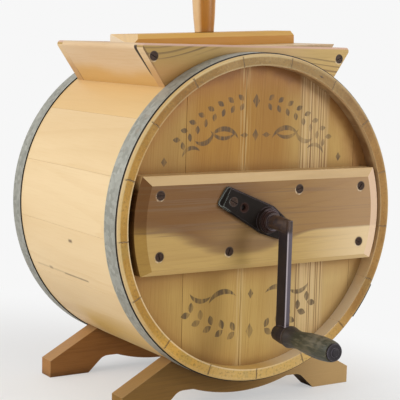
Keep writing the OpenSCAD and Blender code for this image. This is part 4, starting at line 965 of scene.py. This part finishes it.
# %% Hopper
hopper_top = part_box("hopper_front")[1].z
front_back_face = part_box("hopper_front")[1].y
rear_front_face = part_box("hopper_rear")[0].y
corners = [vertex.co for vertex in nodes["hopper_left"].data.vertices]
lip = min(corners, key=lambda corner: corner.x)
foot = min(corners, key=lambda corner: corner.z)
HOPPER_LIP = (lip.x, lip.z)
HOPPER_FOOT = (foot.x, foot.z)
for name in ("hopper_front", "hopper_rear"):
    outwards = -BACK if name == "hopper_front" else BACK
    material, tree, shader, spot, in_board = wood(
        name + "_board", RIGHT, outwards, (0.62, 0.415, 0.135), (0.36, 0.225, 0.075),
        heart=(0, 0.20, -0.030), spacing=0.0072, wander=0.075, taper=0.10, rings_show=0.25, fibre_show=0.28,
        broad_show=0.35, seed=4.0 if name == "hopper_front" else 31.0, wear=0.5, end_tint=(1.15, 1.15, 1.2),
        worn_colour=(0.72, 0.50, 0.32), dirt_and_shade_colour=(0.09, 0.05, 0.025), rough=0.5,
    )
    across, _, high = axes_of(tree, from_axis(tree, spot))
    over(tree, shader, ramp(tree, across, 0.02, -0.09, 0.0, 0.65), (0.36, 0.215, 0.050))
    arch = sum_of(tree, "ADD", ramp(tree, across, -0.125, 0.01, -0.030, 0.0), ramp(tree, across, 0.05, 0.13, 0.0, -0.006))
    bent = add(tree, "CombineXYZ")
    feed(tree, bent.inputs[0], across)
    feed(tree, bent.inputs[1], sum_of(tree, "SUBTRACT", high, arch))
    lines = place(tree, rings, Vector=bent.outputs[0], Heart=(0, -0.2, 0), Spacing=0.0058, Wander=0.009,
                  Taper=0.0, Seed=2.0 if name == "hopper_front" else 17.0)["Late Wood"]
    over(tree, shader, times(tree, ramp(tree, lines, 0.22, 0.58), 0.80), (0.16, 0.095, 0.030))
    over(tree, shader, times(tree, turned_to(tree, (-0.86, 0, -0.5), 0.80, 0.95), 0.7), (0.82, 0.60, 0.36))
    along_end = Vector((HOPPER_FOOT[0] - HOPPER_LIP[0], 0, HOPPER_FOOT[1] - HOPPER_LIP[1])).normalized()
    off_end = vector_of(
        tree, "DOT_PRODUCT", vector_of(tree, "SUBTRACT", spot, (HOPPER_LIP[0], 0, HOPPER_LIP[1])),
        (-along_end.z, 0, along_end.x))
    seam = times(tree, ramp(tree, off_end, 2.0 * MM, 1.2 * MM), turned_to(tree, outwards, 0.3, 0.7), 0.7)
    over(tree, shader, seam, (0.13, 0.065, 0.022))
    low_left = times(tree, ramp(tree, high, 0.172, 0.150), ramp(tree, across, 0.0, -0.06, 0.2, 0.75))
    over(tree, shader, low_left, (0.50, 0.25, 0.075))
    near_top = times(tree, ramp(tree, across, -0.05, 0.0), ramp(tree, across, 0.09, 0.03), 0.5)
    over(tree, shader, near_top, (0.70, 0.45, 0.22))
    depth_down = sum_of(tree, "SUBTRACT", hopper_top, axes_of(tree, spot)[2])
    over(tree, shader, ramp(tree, depth_down, 2.8 * MM, 1.2 * MM, 0.0, 0.85), (0.68, 0.43, 0.33))
    screw_rings(tree, shader, spot, screw_places("hopper_screws", -1 if name == "hopper_front" else 1), 6 * MM)
    give_finish(name, material)

for name, side in (("hopper_left", -1), ("hopper_right", 1)):
    material, tree, shader, spot, in_board = wood(
        name + "_board", BACK, Vector((side, 0, -0.7)), (0.74, 0.55, 0.34), (0.57, 0.34, 0.15),
        heart=(0, -0.20, -0.10), spacing=0.006, wander=0.02, taper=0.02, rings_show=0.3, fibre_show=0.22,
        broad_show=0.4, seed=12.0 + side, wear=0.5, worn_colour=(0.76, 0.54, 0.38),
        dirt_and_shade_colour=(0.16, 0.08, 0.03), rough=0.5,
    )
    parts = axes_of(tree, spot)
    cloudy = times(tree, sum_of(tree, "SUBTRACT", cloud(tree, spot, 14, 3), 0.5), 0.02)
    plain_down = sum_of(tree, "SUBTRACT", hopper_top, parts[2])
    down = sum_of(tree, "ADD", plain_down, cloudy)
    over(tree, shader, ramp(tree, down, 0.020, 0.036, 0.0, 0.85), (0.63, 0.355, 0.095))
    off_front = sum_of(tree, "SUBTRACT", parts[1], front_back_face)
    # An open crack near the front, drawn as a dark line.
    dark_line = ramp(tree, sum_of(tree, "MULTIPLY_ADD", plain_down, 0.13, off_front), 6.6 * MM, 5.6 * MM)
    dark_line = times(tree, dark_line, ramp(tree, plain_down, 0.036, 0.028), ramp(tree, plain_down, 1 * MM, 3 * MM))
    over(tree, shader, dark_line, (0.030, 0.014, 0.006))
    # Painted shade along the rear joint.
    off_rear = sum_of(tree, "SUBTRACT", rear_front_face, parts[1])
    dark_line = times(tree, ramp(tree, off_rear, 2.0 * MM, 1.2 * MM), ramp(tree, plain_down, 0.028, 0.034), 0.7)
    over(tree, shader, dark_line, (0.20, 0.09, 0.03))
    give_finish(name, material)
print("hopper boards")

# %% Lid
LID_LIGHT = Vector((0.76, 0.43, 0.09))
LID_DARK = Vector((0.44, 0.20, 0.030))
cleat_low, cleat_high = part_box("lid_cleat")
lid_middle = (cleat_low + cleat_high) / 2


def lid_wood(name, grain_way, face, seed, light, dark, **changes):
    """Varnished wood of the lid, with the sockets for its marks."""
    return wood(
        name + "_wood", grain_way, face, light, dark, origin=lid_middle, spacing=0.004, wander=0.012,
        taper=0.03, seed=seed, end_tint=(1.05, 1.15, 1.35), wear=0.4, worn_colour=(0.80, 0.55, 0.28),
        dirt_and_shade_colour=(0.13, 0.06, 0.025), rough=0.4, coat=0.15, **changes,
    )


for name, seed in (("lid_board_left", 5.0), ("lid_board_right", 9.0)):
    material, tree, shader, spot, in_board = lid_wood(
        name, BACK, UP, seed, (0.74, 0.52, 0.25), LID_DARK, rings_show=0.3, fibre_show=0.25)
    give_finish(name, material)

material, tree, shader, spot, in_board = lid_wood(
    "lid_cleat", RIGHT, UP, 14.0, LID_LIGHT, LID_DARK, heart=(0, 0.05, -0.12), rings_show=0.35, fibre_show=0.3)
# The left end is paler: end grain, and painted light.
over(tree, shader, turned_to(tree, (-0.95, -0.3, 0), 0.6, 0.85), (0.86, 0.72, 0.53))
# Painted shade: the cleat's front face is made darker.
over(tree, shader, times(tree, turned_to(tree, -BACK, 0.85, 0.97), 0.95), (0.50, 0.225, 0.022))
over(tree, shader, times(tree, turned_to(tree, (0, -0.5, 0.86), 0.85, 0.97), 0.6), (0.64, 0.37, 0.10))
shader.inputs["Specular IOR Level"].default_value = 0.2
shader.inputs["Coat Weight"].default_value = 0.03
give_finish("lid_cleat", material)

material, tree, shader, spot, in_board = lid_wood(
    "lid_handle", UP, -BACK, 19.0, (0.44, 0.18, 0.020), (0.27, 0.09, 0.009), heart=(0, 0.004, -0.02),
    rings_show=0.4, fibre_show=0.3)
streak = times(tree, turned_to(tree, (-0.15, -1, 0), 0.80, 0.98), ramp(tree, cloud(tree, stretched(
    tree, spot, 150, 150, 12), 1, 3), 0.35, 0.6))
over(tree, shader, times(tree, streak, 0.6), (0.30, 0.125, 0.02))
# Painted highlights along the handle's left and right sides.
over(tree, shader, times(tree, turned_to(tree, (-1, -0.1, 0), 0.75, 0.97), 0.8), (0.84, 0.60, 0.33))
over(tree, shader, times(tree, turned_to(tree, (0.8, -0.6, 0), 0.90, 0.99), 0.5), (0.74, 0.44, 0.17))
give_finish("lid_handle", material)
print("lid")

# %% [markdown]
# ## Cradles, grip and dasher
# The cradles stand in the wet, so they are darker, redder and scuffed, the rear one
# most. Their undersides are painted nearly black as shade, the front one is painted
# paler towards its right as lit, and the rear one's colour is painted lighter to make
# up for the shade it stands in. The grip has lost most of its green paint to hands.
# The dasher is scrubbed bare after each use.

# %% Cradles, grip and dasher
# The rear cradle's colour is painted lighter than the front one's, to make up for the shade it stands in.
for name, seed, tone, light in (
    ("front_cradle", 2.0, 0.9, Vector((0.245, 0.120, 0.018))), ("rear_cradle", 27.0, 1.0, Vector((0.35, 0.155, 0.042))),
):
    dark = light * 0.5
    material, tree, shader, spot, in_board = wood(
        name + "_plank", RIGHT, -BACK, light, dark, origin=middle(name), heart=(0, 0.12, -0.06),
        spacing=0.0055, wander=0.03, taper=0.03, rings_show=0.4, fibre_show=0.35, broad_show=0.45, seed=seed,
        end_tint=(1.1, 1.1, 1.0), wear=0.55, worn_colour=Vector((0.46, 0.29, 0.12)) * tone,
        dirt_and_shade_colour=(0.045, 0.02, 0.01), dirt_and_shade_amount=0.8, rough=0.55,
    )
    over(tree, shader, times(tree, turned_to(tree, UP, 0.5, 0.8), 0.45), tuple(Vector((0.54, 0.32, 0.13)) * tone))
    # Painted light: the front cradle is made paler towards its right.
    paler = ramp(tree, axes_of(tree, spot)[0], 0.0, 0.13, 0.0, 0.68 if name == "front_cradle" else 0.1)
    over(tree, shader, paler, (0.60, 0.39, 0.165))
    # Painted shade: the undersides are made nearly black.
    over(tree, shader, times(tree, turned_to(tree, -UP, 0.3, 0.7), 0.95), (0.036, 0.017, 0.008))
    give_finish(name, material)

for name, grain_way, face in (
    ("dasher_bar", BACK, UP), ("dasher_arms", UP, RIGHT), ("dasher_outer_slats", BACK, RIGHT),
    ("dasher_inner_slats", BACK, RIGHT), ("shaft_spacer", BACK, UP),
):
    material = wood(
        name + "_scrubbed", grain_way, face, (0.66, 0.50, 0.31), (0.46, 0.31, 0.16),
        heart=(0, 0.05, -0.09), spacing=0.003, seed=len(name) * 1.7, rings_show=0.5, wear=0.5,
        worn_colour=(0.74, 0.60, 0.42), dirt_and_shade_colour=(0.20, 0.13, 0.07), rough=0.7,
    )[0]
    give_finish(name, material)

grip_low, grip_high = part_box("grip")
material, tree, shader, spot, in_board = wood(
    "grip_wood", BACK, UP, (0.064, 0.064, 0.040), (0.020, 0.020, 0.013), origin=middle("grip"),
    heart=(0, 0.01, -0.03), spacing=0.0035, wander=0.008, rings_show=0.6, fibre_show=0.5, broad_show=0.6,
    seed=6.0, wear=0.4, worn_colour=(0.16, 0.12, 0.07), dirt_and_shade_colour=(0.015, 0.010, 0.008), rough=0.42,
    end_tint=(0.5, 0.4, 0.4),
)
rubbed = ramp(tree, cloud(tree, stretched(tree, spot, 60, 22, 60), 1, 4, 0.65), 0.50, 0.64, 0.0, 0.75)
over(tree, shader, rubbed, (0.135, 0.115, 0.070))
scratches = ramp(tree, cloud(tree, stretched(tree, spot, 420, 60, 420), 1, 3, 0.6), 0.54, 0.68, 0.0, 0.4)
over(tree, shader, scratches, (0.22, 0.195, 0.135))
ends = sum_of(tree, "SUBTRACT", axes_of(tree, spot)[1], grip_low.y)
bare = times(tree, turned_to(tree, (-0.3, 0, 0.95), 0.3, 0.95), ramp(tree, ends, 0.002, 0.012),
             ramp(tree, ends, 0.040, 0.018), ramp(tree, cloud(tree, spot, 120, 3), 0.35, 0.6), 0.5)
over(tree, shader, bare, (0.23, 0.20, 0.145))
over(tree, shader, ramp(tree, ends, 0.052, 0.066, 0.0, 0.7), (0.035, 0.022, 0.022))
give_finish("grip", material)
print("cradles, grip and dasher")

# %% [markdown]
# ## Cast iron and screws
# The bracket is cast iron, dark and a little blue, with bright edges and rust round
# the empty screw hole and the boss, and painted highlights along its upper edges and
# at its left end. The crank is browner from hands; its front face carries a painted
# violet-grey sheen, and a painted highlight runs down the arris between that face and
# its left side. The screws have tarnished almost black.

# %% Iron
BOSS = Vector((0, 0, 0))
bracket_iron, tree, shader, spot = metal(
    "bracket_iron", (0.008, 0.006, 0.004), (0.016, 0.011, 0.009), (0.17, 0.15, 0.16),
    rust=(0.035, 0.015, 0.012), rusty=0.5, patch_scale=70, metallic=0.1, rough=0.45, wear=0.5,
    edge_width=0.0012, cast=True,
)
from_middle = from_axis(tree, spot)
for centre, reach, share in ((SPARE_HOLE, 6.5 * MM, 0.8), (BOSS, 15 * MM, 0.7)):
    off = vector_of(tree, "LENGTH", vector_of(tree, "SUBTRACT", from_middle, tuple(centre)))
    over(tree, shader, ramp(tree, off, reach, reach * 0.6, 0.0, share), (0.060, 0.026, 0.019))
across, _, high = axes_of(tree, from_middle)
bracket_edge_highlight = place(tree, worn, Width=0.0022, Wear=2.0)["Edge"]
# Painted highlights along the plate's upper edges and at its left end.
upper_edge_highlight = times(tree, bracket_edge_highlight, ramp(tree, sum_of(tree, "MULTIPLY_ADD", across, 0.5, high), 0.006, 0.009))
over(tree, shader, times(tree, upper_edge_highlight, 0.4), (0.20, 0.155, 0.165))
over(tree, shader, times(tree, ramp(tree, across, -0.046, -0.050), bracket_edge_highlight, 0.7), (0.34, 0.37, 0.33))
shader.inputs["Specular IOR Level"].default_value = 0.08

crank_iron, tree, shader, spot = metal(
    "crank_iron", (0.014, 0.011, 0.014), (0.026, 0.020, 0.025), (0.22, 0.19, 0.23),
    rust=(0.040, 0.018, 0.013), rusty=0.3, patch_scale=50, metallic=0.2, rough=0.42, wear=0.8,
    edge_width=0.0015, cast=True,
)
across, _, high = axes_of(tree, from_axis(tree, spot))
eye_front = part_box("crank")[0].y
arm_top = [
    v.co for v in nodes["crank"].data.vertices
    if v.co.z > axis_height + 2 * MM and v.co.y < eye_front + 10 * MM
]
arm_front = min(point.y for point in arm_top)
arm_left = min(point.x for point in arm_top)
below_shaft = ramp(tree, high, -0.005, -0.010)
above_eye = ramp(tree, high, -0.108, -0.100)
# Painted sheen: the arm's front face is made violet grey.
arm_face_sheen = times(tree, turned_to(tree, -BACK, 0.6, 0.9), below_shaft, above_eye, 0.5)
over(tree, shader, arm_face_sheen, (0.17, 0.14, 0.175))
# Painted highlight along the arris between the arm's front face and its left side.
off_front = sum_of(tree, "SUBTRACT", axes_of(tree, spot)[1], arm_front)
off_left = sum_of(tree, "SUBTRACT", across, arm_left)
from_arris = sum_of(tree, "MAXIMUM", sum_of(tree, "ABSOLUTE", off_front), sum_of(tree, "ABSOLUTE", off_left))
over(tree, shader, times(tree, ramp(tree, from_arris, 1.2 * MM, 0.7 * MM), below_shaft, 0.8), (0.60, 0.53, 0.56))
print(f"arm front {arm_front / MM:.1f} mm, arm left {arm_left / MM:.1f} mm")
neck = times(tree, ramp(tree, high, -0.012, -0.002), ramp(tree, cloud(tree, spot, 130, 3), 0.35, 0.6, 0.2, 0.8))
over(tree, shader, neck, (0.085, 0.048, 0.030))
shader.inputs["Specular IOR Level"].default_value = 0.35

screw_steel, tree, shader, spot = metal(
    "tarnished_screws", (0.022, 0.012, 0.008), (0.075, 0.042, 0.028), (0.20, 0.15, 0.12),
    rust=(0.020, 0.010, 0.006), rusty=0.7, patch_scale=500, metallic=0.1, rough=0.40, wear=0.35,
    edge_width=0.0005,
)
shader.inputs["Specular IOR Level"].default_value = 0.12
for name in ("crank_bracket", "rear_pivot"):
    give_finish(name, bracket_iron)
for name in ("crank", "grip_pin", "grip_washer", "lock_pin"):
    give_finish(name, crank_iron)
for name in nodes:
    if name.endswith("_screws"):
        give_finish(name, screw_steel)
print("iron and screws")

# %% [markdown]
# ## The floor
# A plain pale sheet, so large that no view sees its end. Half of what the camera
# sees of it is its own white, so it looks as pale as studio paper does and still
# keeps a soft shadow under the churn. Further off it is all its own white, as bright
# as the world, so that no line shows where the two meet. Towards the right it turns to
# its own white sooner, as painted light, so the shadow fades there.

# %% Floor
floor_mesh = bpy.data.meshes.new("studio_floor")
half = 12
floor_mesh.from_pydata(
    [(-half, -half, 0), (half, -half, 0), (half, half, 0), (-half, half, 0)], [], [(0, 1, 2, 3)]
)
floor = bpy.data.objects.new("studio_floor", floor_mesh)
floor.location.z = cad_box[0].z - 0.0003
bpy.context.scene.collection.objects.link(floor)
floor_paper = bpy.data.materials.new("white_paper")
floor_paper.use_nodes = True
tree = floor_paper.node_tree
paper = tree.nodes["Principled BSDF"]
paper.inputs["Base Color"].default_value = (0.84, 0.835, 0.825, 1)
paper.inputs["Roughness"].default_value = 0.7
own_white = add(tree, "Emission")
own_white.inputs["Strength"].default_value = PAPER_WHITE
on_floor = add(tree, "TexCoord").outputs["Object"]
away = vector_of(tree, "LENGTH", on_floor)
# Painted light: towards the right the floor turns to its own white sooner.
floor_lit_to_right = sum_of(tree, "MULTIPLY_ADD", axes_of(tree, on_floor)[0], 0.9, away)
own = sum_of(
    tree, "MAXIMUM", ramp(tree, away, 0.25, 0.9, 0.45, 1.0), ramp(tree, floor_lit_to_right, 0.15, 0.65, 0.45, 1.0))
share = times(tree, add(tree, "LightPath").outputs["Is Camera Ray"], own)
mixed = add(tree, "MixShader")
feed(tree, mixed.inputs[0], share)
feed(tree, mixed.inputs[1], paper.outputs[0])
feed(tree, mixed.inputs[2], own_white.outputs[0])
feed(tree, tree.nodes["Material Output"].inputs["Surface"], mixed.outputs[0])
floor_mesh.materials.append(floor_paper)
print("floor", 2 * half, "m wide")
